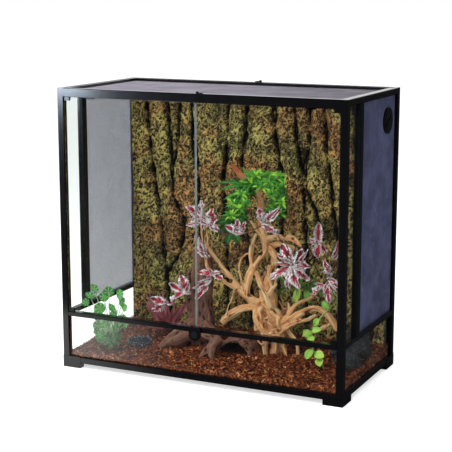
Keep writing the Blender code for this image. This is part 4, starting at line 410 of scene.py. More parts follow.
class Tree:
    """A node tree with short calls for the nodes that the finishes need."""

    def __init__(self, tree):
        self.tree = tree

    def node(self, kind, **settings):
        made = self.tree.nodes.new(kind)
        for name, setting in settings.items():
            setattr(made, name, setting)
        return made

    def feed(self, socket, given):
        """Links a value to a socket, or writes a plain number or colour on it."""
        if isinstance(given, Value):
            self.tree.links.new(given.socket, socket)
        elif isinstance(given, tuple):
            socket.default_value = srgb(*given)
        elif given is not None:
            socket.default_value = given

    def value(self, kind, output, inputs, **settings):
        """The output of a new node, with what goes into its inputs."""
        made = self.node(kind, **settings)
        for socket, given in inputs.items():
            self.feed(made.inputs[socket], given)
        return Value(self, made.outputs[output])

    def noise(self, place, scale, detail=3.0, roughness=0.55, distortion=0.0):
        given = {"Vector": place, "Scale": scale, "Detail": detail, "Roughness": roughness}
        return self.value("ShaderNodeTexNoise", "Fac", {**given, "Distortion": distortion})

    def cells(self, place, scale):
        return self.value("ShaderNodeTexVoronoi", "Distance", {"Vector": place, "Scale": scale})

    def math(self, operation, first, second=None):
        return self.value("ShaderNodeMath", 0, {0: first, 1: second}, operation=operation)

    def mix(self, share, first, second):
        return self.value("ShaderNodeMix", 2, {0: share, 6: first, 7: second}, data_type="RGBA")

    def vector(self, *parts):
        return self.value("ShaderNodeCombineXYZ", 0, dict(enumerate(parts)))

    def ramp(self, share, *stops):
        made = self.node("ShaderNodeValToRGB")
        self.feed(made.inputs["Fac"], share)
        band = made.color_ramp
        first, *between, last = [(position, srgb(*colour)) for position, colour in stops]
        band.elements[0].position, band.elements[0].color = first
        band.elements[1].position, band.elements[1].color = last
        for position, colour in between:
            band.elements.new(position).color = colour
        return Value(self, made.outputs["Color"])

    def attribute(self, name, output="Fac"):
        return self.value("ShaderNodeAttribute", output, {}, attribute_name=name)

    def place(self):
        return self.value("ShaderNodeTexCoord", "Object", {})

    def ray(self, output):
        return self.value("ShaderNodeLightPath", output, {})


class Finish(Tree):
    """A material with one main shader."""

    def __init__(self, name, **plain):
        self.material = bpy.data.materials.new(name)
        self.material.use_nodes = True
        super().__init__(self.material.node_tree)
        self.shader = self.tree.nodes["Principled BSDF"]
        for words, setting in plain.items():
            self.shader.inputs[words.replace("_", " ")].default_value = setting

    def use(self, group, place=None, **inputs):
        """Places a shared effect, and returns its outputs by name."""
        made = self.node("ShaderNodeGroup", node_tree=group)
        for name, given in {"Place": place or self.place(), **inputs}.items():
            self.feed(made.inputs[name], given)
        return {socket.name: Value(self, socket) for socket in made.outputs}

    def surface(self, colour, roughness=None, height=None, strength=0.0, distance=0.0):
        """Sets what changes over the surface, and returns the material."""
        self.feed(self.shader.inputs["Base Color"], colour)
        self.feed(self.shader.inputs["Roughness"], roughness)
        if height is not None:
            given = {"Strength": strength, "Distance": distance, "Height": height}
            self.feed(self.shader.inputs["Normal"], self.value("ShaderNodeBump", "Normal", given))
        return self.material

    def shaded(self):
        return Value(self, self.shader.outputs[0])

    def blend(self, share, first, second):
        return self.value("ShaderNodeMixShader", 0, {0: share, 1: first, 2: second})

    def shown(self, shader):
        self.feed(self.tree.nodes["Material Output"].inputs["Surface"], shader)
        return self.material


def effect(name, work, **numbers):
    """A shared node group. The work gets its tree and inputs, and returns its outputs by name."""
    group = bpy.data.node_groups.new(name, "ShaderNodeTree")
    group.interface.new_socket("Place", in_out="INPUT", socket_type="NodeSocketVector")
    for label, number in numbers.items():
        socket = group.interface.new_socket(label, in_out="INPUT", socket_type="NodeSocketFloat")
        socket.default_value = number
    tree = Tree(group)
    given = tree.node("NodeGroupInput").outputs
    outputs = work(tree, *[Value(tree, given[label]) for label in ("Place", *numbers)])
    for label in outputs:
        group.interface.new_socket(label, in_out="OUTPUT", socket_type="NodeSocketFloat")
    ends = tree.node("NodeGroupOutput").inputs
    for label, output in outputs.items():
        tree.feed(ends[label], output)
    return group


def handling(tree, place, base, spread):
    """Fine grain, faint scratches and dust, for smooth made surfaces."""
    smear = tree.noise(place.stretched(9.0, 9.0, 3.0), 3.0, 4.0)
    return {
        "Roughness": base + (smear - 0.5) * spread,
        "Height": tree.noise(place, 1400.0, 2.0),
        "Dust": tree.noise(place, 60.0, 5.0).spread(0.60, 0.78),
    }


def wood_grain(tree, place):
    """Wood grain that runs along the third axis of the place it is given."""
    lines = tree.noise(place.stretched(420.0, 420.0, 26.0), 1.0, 4.0, 0.6)
    bands = tree.noise(place.stretched(90.0, 90.0, 9.0), 1.0, 3.0, 0.5, 0.4)
    return {
        "Lines": lines.spread(0.36, 0.66),
        "Bands": bands.spread(0.30, 0.70),
        "Height": lines + bands * 0.8,
    }


def leaf_veins(tree, place, count, slant):
    """A leaf's middle rib, side veins and edge, from how far across and along it a point is."""
    across, along, _ = place.parts()
    aside = abs(across - 0.5)
    wave = ((along - aside * slant) * count * math.tau).sine()
    return {
        "Rib": aside.spread(0.02, 0.07, 1.0, 0.0),
        "Veins": wave.spread(0.55, 0.95),
        "Edge": aside.spread(0.30, 0.47),
    }


def grit(tree, place, size):
    """Rough mineral or crumbly ground: grains, pits and pale flecks."""
    coarse = tree.noise(place, size, 6.0, 0.65)
    return {
        "Shade": coarse.spread(0.30, 0.72),
        "Height": coarse + tree.cells(place, size) * 0.4,
        "Flecks": tree.noise(place, size * 3.0, 2.0).spread(0.66, 0.74),
    }


HANDLING = effect("handling", handling, Base=0.3, Spread=0.08)
GRAIN = effect("wood grain", wood_grain)
VEINS = effect("leaf veins", leaf_veins, Count=7.0, Slant=1.2)
GRIT = effect("grit", grit, Size=200.0)


# Finishes of the case


def handled_finish(name, clean, dusty, base, spread, bump, **plain):
    """A smooth made surface with fine grain and a little dust."""
    finish = Finish(name, **plain)
    touch = finish.use(HANDLING, Base=base, Spread=spread)
    colour = finish.mix(touch["Dust"], clean, dusty)
    return finish.surface(colour, touch["Roughness"], touch["Height"], bump, 0.0002)


def wire_finish(name, dark, pale, dusty):
    """Coated mesh wire. It is a little paler where it has been rubbed."""
    finish = Finish(name, Specular_IOR_Level=0.35)
    touch = finish.use(HANDLING, Base=0.45, Spread=0.2)
    patches = finish.noise(finish.place(), 14.0).spread(0.35, 0.70)
    worn = finish.mix(patches, dark, pale)
    return finish.surface(finish.mix(touch["Dust"], worn, dusty), touch["Roughness"])


def glass_finish(name, edged=False):
    """Clear float glass. Shadow and diffuse rays pass, so that the inside is lit through it.

    An edged pane is ground along the edge where it meets the other door.
    """
    finish = Finish(name, Transmission_Weight=1.0, IOR=1.45)
    touch = finish.use(HANDLING, Base=0.015, Spread=0.02)
    finish.surface(finish.mix(touch["Dust"], (249, 253, 251), (244, 249, 248)), touch["Roughness"])
    clear = finish.value("ShaderNodeBsdfTransparent", 0, {"Color": (246, 251, 249)})
    passing = finish.ray("Is Shadow Ray").largest(finish.ray("Is Diffuse Ray"))
    pane = finish.blend(passing, finish.shaded(), clear)
    if edged:
        tone = finish.noise(finish.place(), 300.0, 2.0).spread(0.3, 0.7)
        colour = finish.mix(tone, (112, 124, 120), (150, 160, 156))
        edge = finish.value("ShaderNodeBsdfPrincipled", 0, {"Roughness": 0.4, "Base Color": colour})
        near = abs(finish.place().parts()[0]).spread(DOOR_EDGE_REACH * 0.8, DOOR_EDGE_REACH, 1.0, 0.0)
        pane = finish.blend(near, pane, edge)
    return finish.shown(pane)


# Finishes of the furnishings


def bark_finish():
    """Painted bark: brown plates, and gold and rust strokes brushed over the ridges, with painted shade in
    and beside the fissures, in a hollow and towards the top.
    """
    finish = Finish("bark_board_painted", Roughness=0.85, Specular_IOR_Level=0.2)
    place = finish.place()
    x, y, z = place.parts()
    ground = finish.use(GRIT, Size=260.0)
    brown = finish.mix(ground["Shade"], (26, 22, 20), (78, 66, 52))
    gold = finish.mix(finish.noise(place, 9.0).spread(0.40, 0.60), (246, 220, 130), (238, 176, 108))
    green = finish.noise(place, 5.0, 2.0).spread(0.46, 0.64)
    gold = finish.mix(green * 0.60, gold, (194, 190, 112))
    leaning = finish.vector(x + z * -0.30, y, z * 0.72)
    first = abs(finish.noise(leaning, 50.0, 1.0, 0.4, 1.2) - 0.5).spread(0.022, 0.060, 1.0, 0.0)
    second = abs(finish.noise(leaning, 66.0, 1.0, 0.4, 1.5) - 0.46).spread(0.014, 0.046, 0.85, 0.0)
    strand = first.largest(second)
    broken = finish.noise(place, 90.0, 2.0).spread(0.34, 0.48)
    worn = finish.noise(place, 12.0).spread(0.28, 0.52, 0.45, 1.0)
    stroke = strand.largest(finish.attribute("ridge") * 0.35) * broken * worn
    colour = finish.mix(stroke, brown, gold)
    # Painted shade: darker towards the top of the board, where less light comes in
    colour = finish.mix(z.spread(0.62, 0.83, 0.0, 0.32), colour, (30, 25, 22))
    # Painted shade: the plate value makes the fissures near black and darkens the plates beside them and
    # the hollow
    colour = finish.mix(finish.attribute("plate"), (10, 9, 9), colour)
    foam = finish.mix(finish.cells(place, 190.0).spread(0.10, 0.75), (84, 82, 80), (46, 45, 45))
    colour = finish.mix(finish.attribute("foam"), colour, foam)
    return finish.surface(colour, None, strand + ground["Height"] * 0.5, 0.8, 0.0018)


def chips_finish():
    """Fibrous chips, each of its own shade."""
    finish = Finish("bark_chips_loose", Specular_IOR_Level=0.3)
    fibres = finish.noise(finish.place().stretched(900.0, 900.0, 240.0), 1.0)
    colour = finish.ramp(
        finish.attribute("tint"),
        (0.0, (26, 13, 10)),
        (0.30, (84, 38, 22)),
        (0.58, (150, 70, 36)),
        (0.85, (216, 118, 62)),
        (1.0, (250, 186, 130)),
    )
    colour = finish.mix(fibres.spread(0.35, 0.7, 0.35, 0.0), colour, (50, 24, 18))
    return finish.surface(colour, fibres.spread(0.2, 0.8, 0.62, 0.85), fibres, 0.4, 0.0006)


def wood_finish(name, dark, middle, pale, end, end_low, end_high, rough=0.68):
    """Bare wood with grain along each branch. The end colour comes in over a height."""
    finish = Finish(name, Specular_IOR_Level=0.25)
    grain = finish.use(GRAIN, finish.attribute("grain", "Vector"))
    patches = finish.noise(finish.place(), 24.0, 4.0).spread(0.35, 0.68)
    colour = finish.mix(grain["Bands"], middle, pale)
    colour = finish.mix(patches * 0.45, colour, middle)
    colour = finish.mix((1.0 - grain["Lines"]) * 0.5, colour, dark)
    # The hollow value: the grain's own dark lines, and painted shade in knot hollows and inside the hide's
    # arch
    colour = finish.mix(finish.attribute("hollow").spread(0.30, 0.9, 0.0, 0.9), colour, dark)
    colour = finish.mix(finish.place().parts()[2].spread(end_low, end_high), colour, end)
    roughness = grain["Lines"].spread(0.0, 1.0, rough + 0.15, rough)
    return finish.surface(colour, roughness, grain["Height"], 0.55, 0.0016)


def stone_finish():
    finish = Finish("dark_stone_rough", Roughness=0.8, Specular_IOR_Level=0.3)
    ground = finish.use(GRIT, Size=130.0)
    colour = finish.mix(ground["Shade"], (34, 34, 38), (92, 90, 92))
    colour = finish.mix(ground["Flecks"], colour, (150, 146, 140))
    return finish.surface(colour, None, ground["Height"], 0.8, 0.002)


def dish_finish():
    finish = Finish("dish_glaze_dark", Coat_Weight=0.6, Coat_Roughness=0.08)
    ground = finish.use(GRIT, Size=210.0)
    colour = finish.mix(ground["Shade"], (22, 26, 33), (58, 66, 80))
    # Painted highlight: white glints on the glaze
    painted_glints = finish.noise(finish.place(), 260.0, 2.0).spread(0.60, 0.66)
    colour = finish.mix(painted_glints, colour, (214, 224, 238))
    roughness = ground["Shade"].spread(0.0, 1.0, 0.42, 0.22)
    return finish.surface(colour, roughness, ground["Height"], 0.5, 0.002)


def water_finish():
    """Still water over the dark bowl, dark and bright where it ripples."""
    finish = Finish("dish_water", IOR=1.33)
    ripples = finish.noise(finish.place(), 150.0, 2.0)
    colour = finish.mix(ripples.spread(0.4, 0.6), (20, 26, 36), (34, 44, 60))
    return finish.surface(colour, ripples.spread(0.3, 0.7, 0.03, 0.08), ripples, 0.5, 0.004)


def green_leaf_finish(name, dark, middle, pale, rib, count=7.0, rib_share=0.45, radial=False):
    """A waxy green leaf, dark to pale by its tint. A radial one has its veins from its middle."""
    finish = Finish(name, Specular_IOR_Level=0.45)
    spot = finish.attribute("leaf_place", "Vector")
    veins = finish.use(VEINS, spot, Count=count, Slant=1.2)
    mottle = finish.noise(finish.place(), 220.0)
    shade = finish.attribute("tint") * 0.8 + mottle * 0.25
    lines = veins["Rib"].largest(veins["Veins"] * 0.5)
    if radial:
        across, along, _ = spot.parts()
        wave = abs((finish.math("ARCTAN2", across - 0.5, along - 0.42) * 3.5).sine())
        crossed = finish.noise(finish.place(), 330.0, 2.0).spread(0.52, 0.60)
        lines = wave.spread(0.24, 0.52, 1.0, 0.0).largest(crossed * 0.30)
        lines = lines * veins["Edge"].spread(0.0, 1.0, 1.0, 0.15)
    colour = finish.ramp(shade, (0.0, dark), (0.5, middle), (1.0, pale))
    colour = finish.mix(lines * rib_share, colour, rib)
    return finish.surface(colour, mottle.spread(0.3, 0.7, 0.32, 0.48), lines, 0.35, 0.0006)


def splashed_leaf_finish():
    """A white leaf feathered with wine red from its rib outwards, on red stems."""
    finish = Finish("splashed_leaf_white_red", Specular_IOR_Level=0.4)
    spot = finish.attribute("leaf_place", "Vector")
    veins = finish.use(VEINS, spot, Count=5.0, Slant=1.4)
    across, along, _ = spot.parts()
    aside = abs(across - 0.5)
    feather = finish.vector((along - aside * 1.3) * 11.0, aside * 2.6, finish.attribute("tint") * 37.0)
    streaks = finish.noise(feather, 1.0, 3.0, 0.6)
    mottle = finish.noise(finish.place(), 420.0, 2.0)
    white = (streaks + (aside - 0.20) * 0.62).spread(0.545, 0.590)
    red = aside.spread(0.04, 0.16, 1.0, 0.0) * along.spread(0.10, 0.55, 1.0, 0.0)
    colour = finish.mix(streaks.spread(0.30, 0.46), (84, 14, 30), (168, 34, 58))
    colour = finish.mix(white, colour, (252, 244, 248))
    colour = finish.mix(mottle.spread(0.60, 0.70, 0.0, 0.5), colour, (198, 120, 148))
    colour = finish.mix(red.largest(veins["Rib"] * 0.75), colour, (206, 24, 40))
    colour = finish.mix(finish.attribute("stem"), colour, (112, 52, 46))
    return finish.surface(colour, mottle.spread(0.3, 0.7, 0.38, 0.55), streaks, 0.4, 0.0008)


def maroon_leaf_finish():
    finish = Finish("maroon_strap_waxy", Specular_IOR_Level=0.5)
    spot = finish.attribute("leaf_place", "Vector")
    veins = finish.use(VEINS, spot, Count=3.0, Slant=0.4)
    streaks = finish.noise(spot.stretched(16.0, 1.6, 1.0), 1.0)
    # The palest pink of the streaks is painted highlight; the wine and red streaks are the leaf's own
    # colour
    colour = finish.ramp(streaks, (0.3, (66, 18, 26)), (0.47, (136, 40, 52)), (0.60, (232, 150, 160)))
    colour = finish.mix(veins["Rib"] * 0.7, colour, (176, 96, 112))
    return finish.surface(colour, streaks.spread(0.3, 0.7, 0.34, 0.5), streaks, 0.4, 0.0006)


# Meshes


def placed(name, data):
    """A new object in the scene."""
    thing = bpy.data.objects.new(name, data)
    bpy.context.scene.collection.objects.link(thing)
    return thing


class Mesh:
    """Points, faces and the values that go with each point, gathered before a piece is made."""

    def __init__(self):
        self.points, self.faces, self.values = [], [], {}

    def add(self, points, faces, **values):
        start = len(self.points)
        self.points += [tuple(point) for point in points]
        self.faces += [tuple(start + corner for corner in face) for face in faces]
        for name, given in values.items():
            rows = given if isinstance(given, list) else [given] * len(points)
            self.values.setdefault(name, []).extend(rows)

    def data(self):
        mesh = bpy.data.meshes.new("piece")
        mesh.from_pydata(self.points, [], self.faces)
        for label, rows in self.values.items():
            write_values(mesh, label, rows)
        return mesh


def write_values(mesh, label, rows):
    """Keeps a number or a vector for each point, for the finish to read."""
    rows = np.array(rows, dtype=float)
    kind, field = ("FLOAT_VECTOR", "vector") if rows.ndim > 1 else ("FLOAT", "value")
    mesh.attributes.new(label, kind, "POINT").data.foreach_set(field, rows.ravel())


def sheet_faces(rows, columns):
    """Quads over a grid of points, and the numbers of the points round its rim."""
    index = np.arange(rows * columns).reshape(rows, columns)
    quads = np.stack([index[:-1, :-1], index[:-1, 1:], index[1:, 1:], index[1:, :-1]], axis=-1)
    rim = np.concatenate([index[0, :], index[1:, -1], index[-1, -2::-1], index[-2:0:-1, 0]])
    return quads.reshape(-1, 4).tolist(), rim.tolist()


def wall_faces(upper, lower):
    """Quads between two closed lines of points."""
    corners = zip(upper[1:] + upper[:1], upper, lower, lower[1:] + lower[:1])
    return [list(quad) for quad in corners]


def tube_faces(rings, around):
    """Quads round a row of rings, and a cap on each end."""
    faces = []
    for ring in range(rings - 1):
        for step in range(around):
            here, after = ring * around + step, ring * around + (step + 1) % around
            faces.append((here, after, after + around, here + around))
    return [*faces, tuple(reversed(range(around))), tuple(range((rings - 1) * around, rings * around))]


def dress(node, look, mesh, finish, body="case", smooth=True, instead=True):
    """Makes a piece of a mesh, named after a CAD node and mostly shown instead of it."""
    name = f"{node}_{look}"
    mesh.name = name
    mesh.materials.append(finish)
    mesh.validate()
    if smooth:
        mesh.shade_smooth()
    piece = placed(name, mesh)
    if instead:
        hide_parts(node)
    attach(piece, body)
    return piece


def solid_tree(node):
    """The CAD node's surface, for finding where a ray meets it."""
    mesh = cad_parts[node].data
    return BVHTree.FromPolygons([v.co for v in mesh.vertices], [tuple(p.vertices) for p in mesh.polygons])


# Mesh panels


def prism_wire(start, end, first, second):
    """A four-sided wire from start to end. The two vectors are its half thicknesses."""
    ring = (first, second, -first, -second)
    return [spot + side for spot in (start, end) for side in ring], tube_faces(2, 4)


def beside_hole(hole, ends, along, across, level):
    """The stretches of a wire that pass clear of a round hole."""
    centre, radius = hole
    reach = radius**2 - (level - centre[across]) ** 2
    if reach <= 0.0:
        return [ends]
    half = math.sqrt(reach)
    return [(ends[0], centre[along] - half), (centre[along] + half, ends[1])]


def wire_panel(node, axes, radius, hole=((0.0, 0.0, 0.0), 0.0)):
    """Two layers of wires that fill a CAD mesh panel. The axes are the panel's two long ones."""
    low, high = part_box(node)
    thin = 3 - sum(axes)
    middle = (low[thin] + high[thin]) / 2
    mesh = Mesh()
    for layer, (along, across) in ((-1, axes), (1, axes[::-1])):
        flat, out = Vector(), Vector()
        flat[across] = radius
        out[thin] = min(radius, (high[thin] - low[thin]) / 4)
        count = int((high[across] - low[across] - 2 * radius) / WIRE_PITCH)
        for step in range(count + 1):
            level = low[across] + radius + step * WIRE_PITCH
            for ends in beside_hole(hole, (low[along], high[along]), along, across, level):
                start, end = Vector(), Vector()
                start[along], end[along] = ends
                start[across] = end[across] = level
                start[thin] = end[thin] = middle + layer * out[thin] * 0.8
                mesh.add(*prism_wire(start, end, flat, out))
    return mesh.data()


def make_mesh_panels():
    side_wire = wire_finish("side_wire_coating", (72, 76, 108), (92, 96, 132), (120, 122, 150))
    # The lid's wire is the sides' wire, painted paler as painted sheen from the light above
    lid_wire = wire_finish("lid_wire_painted_sheen", (124, 120, 131), (144, 139, 150), (164, 160, 168))
    ring_low, ring_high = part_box("port_ring")
    cover_low, cover_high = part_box("port_cover")
    port_radius = (cover_high.z - cover_low.z) / 2 + PORT_RING_WALL + PORT_HOLE_MARGIN
    port = ((ring_low + ring_high) / 2, port_radius)
    left = wire_panel("side_mesh_left", (1, 2), SIDE_WIRE_RADIUS)
    right = wire_panel("side_mesh_right", (1, 2), SIDE_WIRE_RADIUS, port)
    lid = wire_panel("lid_mesh", (0, 1), LID_WIRE_RADIUS)
    dress("side_mesh_left", "wires", left, side_wire, smooth=False)
    dress("side_mesh_right", "wires", right, side_wire, smooth=False)
    dress("lid_mesh", "wires", lid, lid_wire, body="lid", smooth=False)


# Bark background


def fissure_distances(grid_x, grid_z):
    """How far each point of a grid is from the nearest fissure."""
    nearest = np.full(grid_x.shape, 1.0)
    for line in metres(BARK_FISSURES):
        for (x0, z0), (x1, z1) in zip(line, line[1:]):
            run_x, run_z = x1 - x0, z1 - z0
            share = ((grid_x - x0) * run_x + (grid_z - z0) * run_z) / (run_x**2 + run_z**2)
            share = np.clip(share, 0.0, 1.0)
            away = np.hypot(grid_x - x0 - share * run_x, grid_z - z0 - share * run_z)
            nearest = np.minimum(nearest, away)
    return nearest


def blurred(grid, times):
    """The grid with each value drawn towards its neighbours, a number of times."""
    for _ in range(times):
        wide = np.pad(grid, 1, mode="edge")
        grid = (2 * grid + wide[:-2, 1:-1] + wide[2:, 1:-1] + wide[1:-1, :-2] + wide[1:-1, 2:]) / 6
    return grid


def make_background(bark):
    """The CAD's plates, with sharper fissures, wandering ridges and a closed back."""
    low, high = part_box("bark_background")
    xs, zs = (np.arange(low[axis] + BARK_MARGIN, high[axis] - BARK_MARGIN, BARK_CELL) for axis in (0, 2))
    grid_x, grid_z = np.meshgrid(xs, zs)
    surface = solid_tree("bark_background")

    def over_grid(value):
        return np.array([[value(x, z) for x in xs] for z in zs])

    def roughness(grain, seed):
        return over_grid(lambda x, z: noise.noise(Vector((x * grain, seed, z * grain))))

    def front_at(x, z):
        spot = surface.ray_cast(Vector((x, -1.0, z)), Vector((0.0, 1.0, 0.0)))[0]
        return spot.y if spot else high.y - FISSURE_DEPTH

    def contour_at(x, z):
        return noise.fractal(Vector((x * RIDGE_GRAIN, 1.0, z * RIDGE_GRAIN)), 1.2, 2.0, 2)

    warp = sum(roughness(grain, seed) * reach for grain, seed, reach in WANDER)
    away = np.abs(fissure_distances(grid_x, grid_z) + warp)
    groove = np.exp(-((away / FISSURE_WIDTH) ** 2))
    ridge = np.clip(1.0 - RIDGE_SHARPNESS * np.abs(over_grid(contour_at)), 0.0, 1.0)
    plate = np.clip(away / PLATE_REACH * 2.2, 0.0, 1.0)
    depth = blurred(over_grid(front_at), BARK_BLUR) + groove * FISSURE_DEPTH
    depth += roughness(SWELL_GRAIN, 2.0) * SWELL_HEIGHT - ridge * RIDGE_HEIGHT * plate
    depth = np.clip(depth, low.y + BARK_MARGIN, high.y - BARK_BACK)

    points = np.stack([grid_x, depth, grid_z], axis=-1).reshape(-1, 3)
    faces, rim = sheet_faces(len(zs), len(xs))
    back = points[rim]
    back[:, 1] = high.y
    behind = list(range(len(points), len(points) + len(rim)))
    mesh = bpy.data.meshes.new("piece")
    points = np.vstack([points, back]).tolist()
    mesh.from_pydata(points, [], faces + wall_faces(rim, behind) + [behind])

    # Painted shade, kept as plate: near black in the fissures, darker on the plates close to them, and dark
    # in the hollow
    bare = np.clip(away / FISSURE_WIDTH - 0.45, 0.0, 1.0)
    bare *= 0.55 + 0.45 * np.clip(away / PLATE_REACH, 0.0, 1.0)
    hollow_x = (grid_x - HOLLOW_SHADE_PLACE[0]) / HOLLOW_SHADE_HALF[0]
    hollow_z = (grid_z - HOLLOW_SHADE_PLACE[1]) / HOLLOW_SHADE_HALF[1]
    bare *= np.clip((hollow_x**2 + hollow_z**2) * 0.8, 0.15, 1.0)
    shown = {"plate": (bare, 0.0), "ridge": (ridge * bare, 0.0), "foam": (0.0 * bare, 1.0)}
    for label, (front, behind) in shown.items():
        write_values(mesh, label, np.append(front, np.full(len(rim), behind)))
    dress("bark_background", "carved", mesh, bark)


# Bark chips


def chip_boxes(rng, centres, turns, low, high):
    """Bent slivers of bark, one for each centre, as arrays of points and faces."""
    count = len(centres)
    spans = (CHIP_LENGTH, CHIP_WIDTH, CHIP_THICKNESS)
    sizes = np.stack([rng.uniform(*span, count) for span in spans], axis=-1)
    corners = np.array([(x, y, z) for x in (-1, 1) for y in (-1, 1) for z in (-1, 1)]) / 2
    shapes = corners * (1 + rng.uniform(-CHIP_JITTER, CHIP_JITTER, (count, 8, 3))) * sizes[:, None, :]
    placed = np.einsum("nij,nkj->nki", turns, shapes) + centres[:, None, :]
    placed = np.clip(placed, np.array(low), np.array(high))
    pattern = np.array([(0, 1, 3, 2), (4, 6, 7, 5), (0, 4, 5, 1), (2, 3, 7, 6), (0, 2, 6, 4), (1, 5, 7, 3)])
    faces = pattern + 8 * np.arange(count)[:, None, None]
    return placed.reshape(-1, 3), faces.reshape(-1, 4)


def turned(rng, count, tilt, upright=Matrix.Identity(3)):
    """Random turns about an axis, each tipped by up to the tilt."""
    matrices = []
    for _ in range(count):
        about = Matrix.Rotation(rng.uniform(0, math.tau), 3, "Z")
        tip = Matrix.Rotation(rng.normal(0, tilt), 3, "X") @ Matrix.Rotation(rng.normal(0, tilt), 3, "Y")
        matrices.append(np.array(upright @ (tip @ about)))
    return np.array(matrices)


def chip_bed(low, high, height):
    """A closed bed a little way under the chips, dark with painted shade."""
    columns, rows = BED_CELLS
    xs = np.linspace(low.x + BED_INSET, high.x - BED_INSET, columns)
    ys = np.linspace(low.y + BED_INSET, high.y - BED_INSET, rows)
    top = [(x, y, height(x, y) - BED_INSET) for y in ys for x in xs]
    bottom = [(x, y, low.z) for x, y, _ in top]
    faces, rim = sheet_faces(rows, columns)
    under = [[corner + len(top) for corner in reversed(face)] for face in faces]
    return top + bottom, faces + under + wall_faces(rim, [corner + len(top) for corner in rim])


def make_substrate(chips):
    """Chips scattered over the top of a bed, dark with painted shade, and against the glass."""
    rng = np.random.default_rng(CHIP_SEED)
    low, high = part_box("substrate")
    dish_low, dish_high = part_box("water_dish")
    dish_middle = (dish_low + dish_high) / 2
    ground = solid_tree("substrate")

    def height(x, y):
        spot = ground.ray_cast(Vector((x, y, 1.0)), Vector((0.0, 0.0, -1.0)))[0]
        return spot.z if spot else low.z

    def along(axis, count):
        return rng.uniform(low[axis] + CHIP_EDGE, high[axis] - CHIP_EDGE, count)

    spots = np.stack([along(0, CHIPS_ON_TOP), along(1, CHIPS_ON_TOP)], axis=-1)
    from_dish = np.hypot(spots[:, 0] - dish_middle.x, spots[:, 1] - dish_middle.y)
    spots = spots[from_dish > (dish_high.x - dish_low.x) / 2]
    zs = np.array([height(x, y) for x, y in spots]) - rng.uniform(0.0, CHIP_SINK, len(spots))
    centres = [np.column_stack([spots, zs])]
    turns = [turned(rng, len(spots), TOP_TILT)]
    walls = (
        (CHIPS_ON_FRONT, 0, low.y + CHIP_EDGE, "X"),
        (CHIPS_ON_SIDE, 1, low.x + CHIP_EDGE, "Y"),
        (CHIPS_ON_SIDE, 1, high.x - CHIP_EDGE, "Y"),
    )
    for count, axis, level, turn_axis in walls:
        spots = np.full((count, 2), level)
        spots[:, axis] = along(axis, count)
        tops = np.array([height(x, y) for x, y in spots])
        zs = low.z + rng.uniform(0.0, 1.0, count) * (tops - low.z)
        centres.append(np.column_stack([spots, zs]))
        turns.append(turned(rng, count, WALL_TILT, Matrix.Rotation(math.pi / 2, 3, turn_axis)))

    points, faces = chip_boxes(rng, np.vstack(centres), np.vstack(turns), low, high)
    tints = np.repeat(np.clip(rng.normal(*CHIP_TINT, len(points) // 8), 0.0, 1.0), 8)
    tints = np.where(under_arch(points, 1.0), tints * ARCH_SHADE, tints)
    mesh = Mesh()
    mesh.add(points.tolist(), faces.tolist(), tint=tints.tolist())
    # The bed's dark tint is painted shade between and under the chips
    mesh.add(*chip_bed(low, high, height), tint=BED_SHADE_TINT)
    dress("substrate", "chips", mesh.data(), chips, smooth=False)


# Wood


def smooth_run(run, step=RUN_STEP):
    """Points a short step apart on a smooth line through the run. A fourth value is a radius."""
    spots = [np.array(point, dtype=float) for point in run]
    spots = [2 * spots[0] - spots[1]] + spots + [2 * spots[-1] - spots[-2]]
    fine = []
    for before, here, after, beyond in zip(spots, spots[1:], spots[2:], spots[3:]):
        parts = max(1, int(np.linalg.norm((after - here)[:3]) / step))
        for number in range(parts):
            t = number / parts
            value = 2 * here + (after - before) * t
            value = value + (2 * before - 5 * here + 4 * after - beyond) * t**2
            value = value + (3 * here - before - 3 * after + beyond) * t**3
            fine.append(value / 2)
    fine.append(spots[-2])
    return fine


def tube(run, sides=TUBE_SIDES, wobble=0.0, seed=0.0):
    """A closed tube along a run, uneven by the wobble."""
    middles = [Vector(point[:3]) for point in run]
    last = len(middles) - 1
    side = (middles[min(1, last)] - middles[0]).normalized().orthogonal().normalized()
    points = []
    for index, middle in enumerate(middles):
        ahead = (middles[min(index + 1, last)] - middles[max(index - 1, 0)]).normalized()
        side = (side - ahead * side.dot(ahead)).normalized()
        other = ahead.cross(side)
        for step in range(sides):
            angle = math.tau * step / sides
            out = side * math.cos(angle) + other * math.sin(angle)
            spot = Vector((math.cos(angle) * 1.3, math.sin(angle) * 1.3, index * 0.16 + seed))
            points.append(middle + out * float(run[index][3]) * (1.0 + wobble * noise.noise(spot)))
    return points, tube_faces(len(middles), sides)


def fused(mesh, voxel):
    """The mesh's closed solids joined into one skin."""
    loose = placed("loose", mesh.data())
    join = loose.modifiers.new("join", "REMESH")
    join.mode = "VOXEL"
    join.voxel_size = voxel
    loose.modifiers.new("even", "SMOOTH").iterations = WOOD_SMOOTHING
    graph = bpy.context.evaluated_depsgraph_get()
    joined = bpy.data.meshes.new_from_object(loose.evaluated_get(graph))
    bpy.data.objects.remove(loose, do_unlink=True)
    return joined


def stretches_of(runs):
    """Starts, ends, radii, travelled lengths and run numbers of all the runs' stretches."""
    rows = []
    for number, run in enumerate(runs):
        travelled = 0.0
        for here, after in zip(run, run[1:]):
            rows.append((*here[:3], *after[:3], (here[3] + after[3]) / 2, travelled, number))
            travelled += float(np.linalg.norm(np.array(after[:3]) - np.array(here[:3])))
    return np.array(rows, dtype=float)


